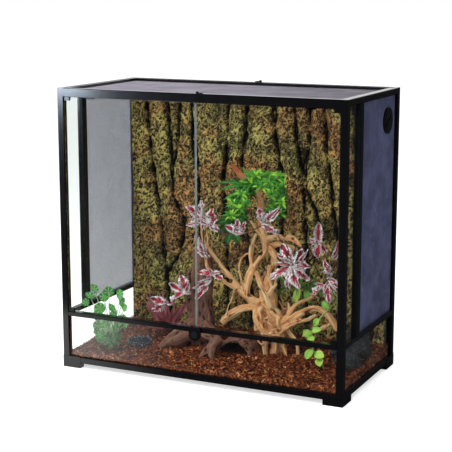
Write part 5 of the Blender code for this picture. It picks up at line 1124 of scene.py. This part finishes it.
def grain_places(points, runs):
    """Each point in the frame of its branch, whose third axis is the way along."""
    rows = stretches_of(runs)
    starts, radii = rows[:, 0:3], rows[:, 6]
    spans = rows[:, 3:6] - starts
    lengths = np.maximum(np.linalg.norm(spans, axis=1), 1e-6)
    best = np.full(len(points), 1e9)
    chosen = np.zeros(len(points), dtype=int)
    shares = np.zeros(len(points))
    for number in range(len(rows)):
        share = np.clip((points - starts[number]) @ spans[number] / lengths[number] ** 2, 0.0, 1.0)
        aside = points - starts[number] - share[:, None] * spans[number]
        away = np.linalg.norm(aside, axis=1) - radii[number]
        nearer = away < best
        best[nearer], chosen[nearer], shares[nearer] = away[nearer], number, share[nearer]
    ahead = spans[chosen] / lengths[chosen][:, None]
    offset = points - starts[chosen] - shares[:, None] * spans[chosen]
    helper = np.where(np.abs(ahead[:, 2:3]) < 0.9, [[0.0, 0.0, 1.0]], [[1.0, 0.0, 0.0]])
    side = np.cross(helper, ahead)
    side /= np.linalg.norm(side, axis=1)[:, None]
    other = np.cross(ahead, side)
    along = rows[chosen, 7] + shares * lengths[chosen]
    local = np.stack([(offset * side).sum(1), (offset * other).sum(1), along], axis=-1)
    return local + rows[chosen, 8:9] * np.array([[0.31, 0.17, 0.7]])


def noise_at(points, grain, shift=0.0):
    """Noise at each point, with its own grain along each axis."""
    return np.array([noise.noise(Vector(spot)) for spot in points * grain + (0.0, 0.0, shift)])


def weather(mesh, runs, grain_depth, shaded=None):
    """Cuts grain and hollows into a wooden skin, and keeps them for the finish.

    The kept darkening is the grain's own dark lines and painted shade in the hollows. What lies in the
    shaded part, which a function names, is painted as dark as a hollow, as painted shade.
    """
    points, normals = np.empty((2, len(mesh.vertices) * 3))
    mesh.vertices.foreach_get("co", points)
    mesh.vertices.foreach_get("normal", normals)
    points, normals = points.reshape(-1, 3), normals.reshape(-1, 3)
    local = grain_places(points, runs)
    lines = noise_at(local, (260, 260, 16))
    broad = noise_at(local, (75, 75, 11), 5.0)
    knots = noise_at(points, (55, 55, 55))
    cut = np.clip(-lines - 0.05, 0.0, 1.0) * grain_depth * 2.2 - broad * grain_depth * 1.3
    hollow = np.clip(-knots - 0.22, 0.0, 1.0) * 2.6
    shifted = points - normals * (cut + hollow * KNOT_DEPTH)[:, None]
    mesh.vertices.foreach_set("co", shifted.ravel())
    # Dark grain lines, and painted shade in the knot hollows
    dark = np.clip(np.clip(-lines - 0.12, 0.0, 1.0) * 1.9 + hollow * 0.8, 0.0, 1.0)
    if shaded is not None:
        dark = np.where(shaded(points), 1.0, dark)
    write_values(mesh, "hollow", dark)
    write_values(mesh, "grain", local)


def root_strands(rng, count, middle, radius, top, bottom, thickness):
    """Thin roots that wind down round a trunk."""
    runs = []
    for _ in range(count):
        angle = rng.uniform(0, math.tau)
        wind = rng.uniform(-1.6, 1.6)
        high = rng.uniform(bottom + 0.35 * (top - bottom), top)
        low = rng.uniform(bottom, bottom + 0.35 * (high - bottom))
        thick = rng.uniform(*thickness)
        run = []
        for share in np.linspace(0.0, 1.0, 6):
            turn = angle + wind * share + rng.uniform(-0.2, 0.2)
            out = radius * (0.98 + 0.26 * share + rng.uniform(-0.10, 0.14))
            x = middle[0] + out * math.cos(turn) * 1.05
            y = middle[1] + out * math.sin(turn) * 0.9
            run.append((x, y, high + (low - high) * share, thick * (1.0 - 0.45 * share)))
        runs.append(run)
    return runs


def wooden_skin(runs, wobble, first_seed, seed_step, extra=((), ())):
    """One skin round all the runs and an extra solid."""
    mesh = Mesh()
    for number, run in enumerate(runs):
        mesh.add(*tube(run, wobble=wobble, seed=first_seed + number * seed_step))
    mesh.add(*extra)
    return fused(mesh, WOOD_VOXEL)


def make_driftwood(wood):
    """Branches and winding roots, joined, then weathered along their grain."""
    rng = random.Random(STRAND_SEED)
    branches = metres(DRIFTWOOD_STRANDS)
    runs = [[(x, y, z, radius * WOOD_SWELL) for x, y, z, radius in run] for run in branches]
    runs += root_strands(rng, *DRIFTWOOD_ROOTS)
    runs += root_strands(rng, *BRANCH_ROOTS)
    runs = [smooth_run(run) for run in runs]
    skin = wooden_skin(runs, 0.34, 0.0, 3.7)
    weather(skin, runs, GRAIN_DEPTH)
    dress("driftwood", "weathered", skin, wood)


def half_log():
    """The hide's arch: a thick half ring, run from front to back."""
    steps, rows = 16, 8
    centre_x, centre_y, floor = ARCH_CENTRE
    angles = [math.pi * step / steps for step in range(steps + 1)]
    points = []
    for row in range(rows + 1):
        y = centre_y + ARCH_HALF_DEPTH * (2 * row / rows - 1)
        for wall, arc in ((0.0, angles), (ARCH_WALL, angles[::-1])):
            for angle in arc:
                grow = wall - ARCH_WALL + 0.004 * noise.noise(Vector((angle * 2.0, y * 30.0, wall * 90.0)))
                x = centre_x + (ARCH_HALF_SPAN + grow) * math.cos(angle)
                points.append((x, y, floor + (ARCH_HEIGHT + grow) * math.sin(angle)))
    return points, tube_faces(rows + 1, 2 * len(angles))


def under_arch(points, grow=1.12):
    """Which of the points lie under the hide's arch, or on its inner face."""
    x, y, z = points.T
    across = (x - ARCH_CENTRE[0]) / (ARCH_HALF_SPAN - ARCH_WALL)
    up = (z - ARCH_CENTRE[2]) / (ARCH_HEIGHT - ARCH_WALL)
    deep = np.abs(y - ARCH_CENTRE[1]) < ARCH_HALF_DEPTH - 0.002
    return (np.hypot(across, up) < grow) & deep


def make_hide(wood):
    """The stump with its roots, and the arch of the hide."""
    rng = random.Random(STRAND_SEED + 1)
    branches = metres(STUMP_BRANCHES) + root_strands(rng, *STUMP_ROOTS)
    runs = [smooth_run(run) for run in branches]
    skin = wooden_skin(runs, 0.26, 20.0, 2.9, half_log())
    along_arch = [(ARCH_CENTRE[0], ARCH_CENTRE[1] + step * 0.02, 0.08, 0.02) for step in (-3, 0, 3)]
    # Painted shade: the inside of the arch is as dark as the hollows
    weather(skin, runs + [along_arch], STUMP_GRAIN_DEPTH, under_arch)
    dress("stump_hide", "weathered", skin, wood)


# Rocks and dish


def make_rocks(stone):
    """The CAD's stones, broken up by chips and grain."""
    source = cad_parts["rocks"].data
    mesh = Mesh()
    mesh.add([v.co for v in source.vertices], [tuple(p.vertices) for p in source.polygons])
    skin = fused(mesh, ROCK_VOXEL)
    for vertex in skin.vertices:
        cells = noise.voronoi(vertex.co * 42.0)[0]
        chip = 1.0 - min(1.0, (cells[1] - cells[0]) * 2.2)
        grain = noise.fractal(vertex.co * 120.0, 0.9, 2.0, 4) + 0.6
        vertex.co -= vertex.normal * (ROCK_CHIP_DEPTH * chip + ROCK_GRAIN_DEPTH * grain)
    dress("rocks", "rough", skin, stone, smooth=False)


def lathed(profile, middle, sides=64, rough=0.0):
    """A turned form from a profile of radius and height, with flat ends."""
    points = []
    for radius, height in profile:
        for step in range(sides):
            angle = math.tau * step / sides
            spot = Vector((math.cos(angle) * 2.0, math.sin(angle) * 2.0, height * 90.0))
            reach = radius * (1.0 - rough * abs(noise.noise(spot)))
            x, y = middle[0] + reach * math.cos(angle), middle[1] + reach * math.sin(angle)
            points.append((x, y, height))
    mesh = Mesh()
    mesh.add(points, tube_faces(len(profile), sides))
    return mesh.data()


def make_dish(glaze, water):
    low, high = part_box("water_dish")
    middle = (low + high) / 2
    outer = (high.x - low.x) / 2 - DISH_MARGIN
    top = high.z - DISH_MARGIN
    bowl = (
        (outer * 0.90, low.z),
        (outer * 0.97, low.z + DISH_FOOT),
        (outer, low.z + 2.2 * DISH_FOOT),
        (outer, top - DISH_RIM),
        (outer - DISH_RIM * 0.4, top - DISH_RIM * 0.2),
        (outer - DISH_WALL / 2, top),
        (outer - DISH_WALL + DISH_RIM * 0.3, top - DISH_RIM * 0.4),
        (outer - DISH_WALL, top - DISH_RIM * 1.4),
        (outer - DISH_WALL * 1.3, low.z + 2.0 * DISH_FOOT),
        (outer * 0.70, low.z + DISH_FOOT),
        (outer * 0.30, low.z + DISH_FOOT * 0.8),
    )
    level = top - WATER_BELOW_RIM
    pool = ((outer - DISH_WALL * 1.4, level - 0.0016), (outer - DISH_WALL * 1.1, level))
    dress("water_dish", "bowl", lathed(bowl, middle, rough=0.035), glaze)
    dress("water_dish", "water", lathed(pool, middle), water, instead=False)


# Plants


def pointed(t):
    return math.sin(math.pi * t**0.75) ** 0.85


def oval(t):
    return math.sin(math.pi * t) ** 0.62


def strap(t):
    return min(1.0, 5.0 * t + 0.35) * (1.0 - t**3.2) ** 0.8


def round_outline(t):
    return math.sqrt(max(0.0, 1.0 - (2.0 * t - 1.0) ** 2))


def leaf(mesh, base, tip, width, facing, outline, tint, steps=9, halves=2, bend=0.16, cup=0.18, **edge):
    """One curved blade from base to tip, with its place across and along kept at each point.

    The edge may be toothed, and the wave says how crumpled the blade is.
    """
    base, tip = Vector(base), Vector(tip)
    toothed, wave = edge.get("toothed", False), edge.get("wave", 0.0)
    along = tip - base
    across = along.cross(Vector(facing)).normalized()
    up = across.cross(along).normalized()
    points, places = [], []
    for row in range(steps + 1):
        t = row / steps
        half = max(0.035, outline(t)) * width / 2
        if toothed:
            half *= 1.0 + 0.20 * (1.0 if row % 2 else -1.0) * min(1.0, 4.0 * t * (1.0 - t))
        arch = up * bend * along.length * math.sin(math.pi * t)
        for column in range(-halves, halves + 1):
            u = column / halves
            crumple = noise.noise(Vector((u * 1.7, t * 4.5, tint * 60.0)))
            lift = cup * width * u * u + wave * width * crumple * (0.4 + abs(u)) * 1.6
            points.append(base + along * t + arch + across * half * u + up * lift)
            places.append((u / 2 + 0.5, t, 0.0))
    mesh.add(points, sheet_faces(steps + 1, 2 * halves + 1)[0], leaf_place=places, tint=tint, stem=0.0)


def stems_into(mesh, stems, tint, sides=8):
    """Stems as fine tubes. Returns their middle lines."""
    lines = [smooth_run(run, STEM_STEP) for run in stems]
    for line in lines:
        mesh.add(*tube(line, sides), leaf_place=(0.5, 0.5, 0.0), tint=tint, stem=1.0)
    return lines


def nearest_spot(spot, lines):
    spot = Vector(spot)
    places = [Vector(point[:3]) for line in lines for point in line]
    return min(places, key=lambda place: (place - spot).length)


def plant(node, look, mesh, finish):
    piece = dress(node, look, mesh.data(), finish)
    thick = piece.modifiers.new("thickness", "SOLIDIFY")
    thick.thickness = LEAF_THICKNESS
    thick.offset = 0.0


def stay_in(spot, node, margin=0.003):
    """The spot, moved inside the node's box."""
    low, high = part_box(node)
    return Vector([min(max(spot[axis], low[axis] + margin), high[axis] - margin) for axis in range(3)])


def around(rng, *halves):
    """A random vector up to the halves away from nought on each axis."""
    return Vector([rng.uniform(-half, half) for half in halves])


def before_branch(spot):
    """Whether a leaf at the spot would hide the driftwood's upright branch."""
    if not FERN_GAP_HEIGHTS[0] < spot.z <= FERN_GAP_HEIGHTS[-1]:
        return False
    return abs(spot.x - np.interp(spot.z, FERN_GAP_HEIGHTS, FERN_GAP_X)) < FERN_GAP_HALF


def make_fern(green):
    """Two arching stems with small pointed leaflets all round, and a few long leaves."""
    rng = random.Random(FERN_SEED)
    mesh = Mesh()
    lines = stems_into(mesh, metres(FERN_STEMS), 0.2)
    for near, tip, width in metres(FERN_LEAVES):
        tint = rng.uniform(0.10, 0.55)
        shape, size = pointed, width * 0.55
        if width > BROAD_FERN_LEAF:
            shape, size, tint = oval, width, 0.05
        leaf(mesh, nearest_spot(near, lines), tip, size, LEAF_FACING, shape, tint)
    for centre in metres(FERN_FANS):
        base = Vector(centre)
        stems_into(mesh, [[(*nearest_spot(centre, lines), 0.0012), (*centre, 0.0008)]], 0.3, sides=6)
        lean = rng.uniform(0.2, 1.0)
        for step in range(FAN_LEAFLETS):
            angle = math.pi * (step / (FAN_LEAFLETS - 1) * 1.5 - 0.25) + rng.uniform(-0.15, 0.15)
            aim = Vector((math.cos(angle), -0.25 * lean, math.sin(angle) * 0.8)) * rng.uniform(0.020, 0.032)
            tint = rng.uniform(0.35, 1.10)
            width = rng.uniform(0.0055, 0.0085)
            leaf(mesh, base, stay_in(base + aim, "fern"), width, LEAF_FACING, pointed, tint, 6, bend=0.15)
    bases = [Vector(point[:3]) for line in lines for point in line[2:]]
    for base in [base for base in bases for _ in range(LEAFLETS_AT_POINT)]:
        angle = rng.uniform(0, math.tau)
        reach = rng.uniform(0.020, 0.046)
        aim = Vector((math.cos(angle), 0.6 * math.sin(angle), rng.uniform(-0.6, 0.9))).normalized() * reach
        tip = stay_in(base + aim, "fern")
        if before_branch((base + tip) / 2):
            continue
        # Painted light: leaflets pointing up or towards the front are paler, as if lit more
        tint = rng.uniform(-0.10, 0.50) + max(0.0, aim.z / reach) * 0.7 + max(0.0, -aim.y / reach) * 0.25
        facing = (rng.uniform(-0.6, 0.6), -0.8, rng.uniform(0.2, 0.9))
        width = rng.uniform(0.0060, 0.0100)
        leaf(mesh, base, tip, width, facing, pointed, tint, 6, bend=rng.uniform(0.0, 0.35))
    plant("fern", "leafy", mesh, green)


def make_garland(splashed):
    """Red stems with splashed, toothed leaves, three narrow ones beside each broad one."""
    rng = random.Random(GARLAND_SEED)
    mesh = Mesh()
    lines = stems_into(mesh, metres(GARLAND_STEMS), 0.5)
    for near, tip, width in metres(GARLAND_LEAVES):
        base = nearest_spot(near, lines)
        facing = (rng.uniform(-0.7, 0.7), -0.8, rng.uniform(0.1, 0.8))
        bend = rng.uniform(-0.05, 0.22)
        leaf(mesh, base, tip, width, facing, oval, rng.random(), 20, 3, bend, 0.20, toothed=True, wave=0.42)
        aim = Vector(tip) - base
        for _ in range(3):
            aside = Vector((rng.uniform(-0.8, 0.8), rng.uniform(-0.5, 0.1), rng.uniform(-0.7, 0.7)))
            spot = base + (aim * 0.6 + aside * aim.length) * rng.uniform(0.5, 0.9)
            spot = stay_in(spot, "leaf_garland")
            size = width * rng.uniform(0.38, 0.62)
            tint = rng.random()
            leaf(mesh, base, spot, size, facing, pointed, tint, 14, 2, bend, 0.3, toothed=True, wave=0.5)
    plant("leaf_garland", "splashed", mesh, splashed)


def make_round_plant(green):
    """Round leaves on thin stalks, over a dense foot of smaller ones."""
    rng = random.Random(ROUND_PLANT_SEED)
    mesh = Mesh()
    root = Vector((*ROUND_PLANT_ROOT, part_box("round_leaf_plant")[0].z + 0.002))
    leaves = []
    for *row, rise in ROUND_PLANT_LEAVES:
        *centre, size = metres(row)
        leaves.append((Vector(centre), size, rng.uniform(0.35, 0.8), rise))
    for _ in range(ROUND_FOOT_LEAVES):
        level = rng.uniform(*ROUND_FOOT_LEVELS)
        half = 0.026 + 0.36 * (level - ROUND_FOOT_LEVELS[0])
        centre = Vector((ROUND_FOOT_X + rng.uniform(-half, half), rng.uniform(-0.178, -0.135), level))
        leaves.append((centre, rng.uniform(0.011, 0.021), rng.uniform(0.0, 0.75), rng.uniform(0.35, 0.9)))
    for centre, size, tint, rise in leaves:
        outward = centre - root
        outward.z *= 0.3
        outward.normalize()
        start = root + around(rng, 0.006, 0.006).to_3d()
        bend = start.lerp(centre, 0.55) + Vector((0.0, 0.0, 0.012))
        stems_into(mesh, [[(*start, 0.0011), (*bend, 0.0010), (*centre, 0.0008)]], 0.25, sides=6)
        base = stay_in(centre - outward * size / 2, "round_leaf_plant")
        tip = stay_in(centre + outward * size / 2, "round_leaf_plant")
        facing = (rng.uniform(-0.1, 0.6), -0.8, rise)
        leaf(mesh, base, tip, size, facing, round_outline, tint, 14, 4, 0.04, 0.10, toothed=True, wave=0.04)
    plant("round_leaf_plant", "leafy", mesh, green)


def make_maroon_plant(maroon):
    """Strap leaves from one root."""
    rng = random.Random(MAROON_SEED)
    mesh = Mesh()
    low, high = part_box("maroon_plant")
    root = Vector((*MAROON_ROOT, low.z + 0.006))
    tips = [Vector(tip) for tip in metres(MAROON_TIPS)]
    for _ in range(EXTRA_STRAPS):
        x, y = rng.uniform(low.x, high.x), rng.uniform(low.y, high.y - 0.02)
        tips.append(stay_in((x, y, rng.uniform(0.085, high.z - 0.02)), "maroon_plant"))
    for tip in tips:
        facing = (rng.uniform(-0.5, 0.5), -0.8, 0.5)
        base = root + around(rng, 0.008, 0.008).to_3d()
        width = rng.uniform(0.013, 0.019)
        leaf(mesh, base, tip, width, facing, strap, rng.random(), 12, 2, rng.uniform(0.02, 0.14), 0.22)
    plant("maroon_plant", "straps", mesh, maroon)


def make_vine(green):
    """A trailing stem with oval leaves low down, narrow ones high up and fine tendrils."""
    rng = random.Random(VINE_SEED)
    mesh = Mesh()
    lines = stems_into(mesh, metres(VINE_STEMS), 0.1)
    for near, tip, width in metres(VINE_LEAVES):
        high_up = tip[2] > VINE_NARROW_ABOVE
        tint = rng.uniform(0.0, 0.25) if high_up else rng.uniform(0.55, 1.0)
        facing = (rng.uniform(-0.3, 0.3), -0.9, rng.uniform(0.2, 0.7))
        shape, size = (strap, width * 0.45) if high_up else (oval, width)
        leaf(mesh, nearest_spot(near, lines), tip, size, facing, shape, tint, 10, 3, 0.12, 0.14)
    points = len(lines[0])
    for _ in range(VINE_TENDRILS):
        base = Vector(lines[0][rng.randrange(points * 2 // 3, points)][:3])
        aim = Vector((rng.uniform(-0.034, 0.034), rng.uniform(-0.03, 0.0), rng.uniform(-0.02, 0.050)))
        tip = stay_in(base + aim, "vine")
        leaf(mesh, base, tip, rng.uniform(0.004, 0.008), LEAF_FACING, strap, rng.uniform(0.0, 0.3), 7)
    plant("vine", "leafy", mesh, green)


# Case


def finish_case():
    """Gives each CAD node that still shows its finish."""
    satin = {"Specular_IOR_Level": 0.28, "Coat_Weight": 0.35, "Coat_Roughness": 0.10}
    black = handled_finish("black_frame_satin", (12, 12, 14), (22, 22, 25), 0.17, 0.12, 0.05, **satin)
    metal = handled_finish("lock_black_plate", (36, 37, 42), (70, 70, 74), 0.34, 0.20, 0.14, Metallic=0.6)
    glass = glass_finish("float_glass_clear")
    door_glass = glass_finish("door_glass_ground_edge", edged=True)
    for name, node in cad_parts.items():
        if name.startswith("door_glass"):
            chosen = door_glass
        elif "glass" in name or name == "floor_pan":
            chosen = glass
        elif name in ("lock_cylinder", "lock_bolt"):
            chosen = metal
        else:
            chosen = black
        for slot in node.material_slots:
            slot.material = chosen


# Studio


def make_floor():
    """A pale sweep. The camera sees it lifted towards white, and the object's shadow stays on it.

    In reflections it is dark, as if a dark cloth lay there, but for the part close in front of the case
    on its left and the part behind it.
    """
    finish = Finish("studio_floor", Roughness=0.9, Specular_IOR_Level=0.1)
    white = finish.mix(finish.noise(finish.place(), 2.0, 2.0), (236, 236, 236), (240, 240, 240))
    x, y, _ = finish.place().parts()
    mirrored = finish.ray("Glossy Depth").above(0.5)
    left = (x - y * 0.57).spread(-0.34, 0.10, 1.0, 0.0)
    near = y.spread(-0.86, -0.70) * y.spread(-0.15, 0.0, 1.0, 0.0)
    behind = y.spread(0.3, 0.5) * x.spread(0.1, 0.4, 1.0, 0.0)
    bare = (left * near).largest(behind)
    finish.surface(finish.mix(mirrored * (1.0 - bare), white, (44, 44, 46)))
    glossy = finish.ray("Is Glossy Ray") * mirrored * bare
    direct = finish.ray("Is Camera Ray").largest(finish.ray("Is Transmission Ray"))
    seen = (direct * (1.0 - mirrored)).largest(glossy)
    lift = finish.value("ShaderNodeEmission", 0, {"Strength": seen * FLOOR_LIFT})
    finish.shown(finish.value("ShaderNodeAddShader", 0, {0: finish.shaded(), 1: lift}))
    half = FLOOR_SIZE / 2
    corners = [(-half, -half, 0.0), (half, -half, 0.0), (half, half, 0.0), (-half, half, 0.0)]
    mesh = bpy.data.meshes.new("studio_floor")
    mesh.from_pydata(corners, [], [(0, 1, 2, 3)])
    mesh.materials.append(finish.material)
    floor = placed("studio_floor", mesh)
    floor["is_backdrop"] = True


def make_world():
    """White behind the object, and an even fill. The side towards the camera is dark in reflections."""
    world = bpy.data.worlds.new("studio")
    bpy.context.scene.world = world
    world.use_nodes = True
    sky = Tree(world.node_tree)
    x, y, _ = sky.value("ShaderNodeTexCoord", "Generated", {}).parts()
    reflected = (y.spread(-0.05, 0.25) * x.spread(-0.10, 0.25, 1.0, 0.0)).largest(FLAG_LEVEL)
    mirrored = sky.ray("Glossy Depth").above(0.5)
    passed = sky.ray("Is Transmission Ray")
    seen = sky.ray("Is Camera Ray").largest(passed) * (1.0 - mirrored)
    glossy = mirrored * sky.ray("Is Glossy Ray").largest(passed)
    fill = (1.0 - seen - glossy) * WORLD_FILL
    back = world.node_tree.nodes["Background"].inputs
    back["Color"].default_value = (1.0, 1.0, 1.0, 1.0)
    sky.feed(back["Strength"], seen + glossy * reflected + fill)


def aimed(thing, place, target):
    thing.location = place
    thing.rotation_euler = (Vector(target) - Vector(place)).to_track_quat("-Z", "Y").to_euler()


def make_lamp(name, places, size, power, glossy=False):
    """A soft rectangle of light. A glossy one shows in reflections alone."""
    light = bpy.data.lights.new(name, "AREA")
    light.energy = power
    light.color = CARD_TINT if glossy else (1.0, 1.0, 1.0)
    light.shape = "RECTANGLE"
    light.size, light.size_y = size
    lamp = placed(name, light)
    aimed(lamp, *places)
    lamp.visible_glossy = glossy
    lamp.visible_diffuse = not glossy
    lamp.visible_camera = False
    lamp.visible_transmission = False


def make_studio():
    make_floor()
    make_world()
    make_lamp("key", KEY_PLACES, (KEY_SIZE, KEY_SIZE), KEY_POWER)
    make_lamp("top", TOP_PLACES, (TOP_SIZE, TOP_SIZE), TOP_POWER)
    make_lamp("card", CARD_PLACES, CARD_SIZE, CARD_POWER, glossy=True)


def make_camera():
    data = bpy.data.cameras.new("camera")
    data.sensor_width = SENSOR_WIDTH
    data.sensor_fit = "HORIZONTAL"
    data.lens = LENS
    camera = placed("camera", data)
    aimed(camera, CAMERA_PLACE, CAMERA_TARGET)
    bpy.context.scene.camera = camera


def make_furnishings():
    """All the furnishings, with their colours from dark to pale."""
    make_background(bark_finish())
    make_substrate(chips_finish())
    tan = ((112, 56, 34), (252, 172, 114), (255, 222, 170))
    make_driftwood(wood_finish("driftwood_bare", *tan, (176, 92, 56), 0.545, 0.60))
    brown = ((38, 25, 23), (132, 88, 76), (172, 124, 106))
    make_hide(wood_finish("stump_weathered", *brown, (124, 78, 64), 0.28, 0.36, 0.75))
    make_rocks(stone_finish())
    make_dish(dish_finish(), water_finish())
    fern = ((6, 46, 26), (48, 146, 46), (186, 240, 76))
    make_fern(green_leaf_finish("fern_waxy", *fern, (150, 190, 90)))
    make_garland(splashed_leaf_finish())
    round_green = ((10, 72, 26), (38, 146, 42), (96, 200, 70))
    make_round_plant(green_leaf_finish("round_leaf_waxy", *round_green, (222, 246, 200), 6.0, 0.85, True))
    make_maroon_plant(maroon_leaf_finish())
    vine = ((16, 70, 36), (104, 168, 52), (196, 226, 100))
    make_vine(green_leaf_finish("vine_waxy", *vine, (214, 226, 150)))


make_camera()
make_studio()
finish_case()
make_mesh_panels()
make_furnishings()

bpy.context.scene.view_settings.view_transform = "Standard"


def plain(box):
    return [[round(float(value), 6) for value in corner] for corner in box]


{"cad": plain(cad_box), "visual": plain(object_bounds())}
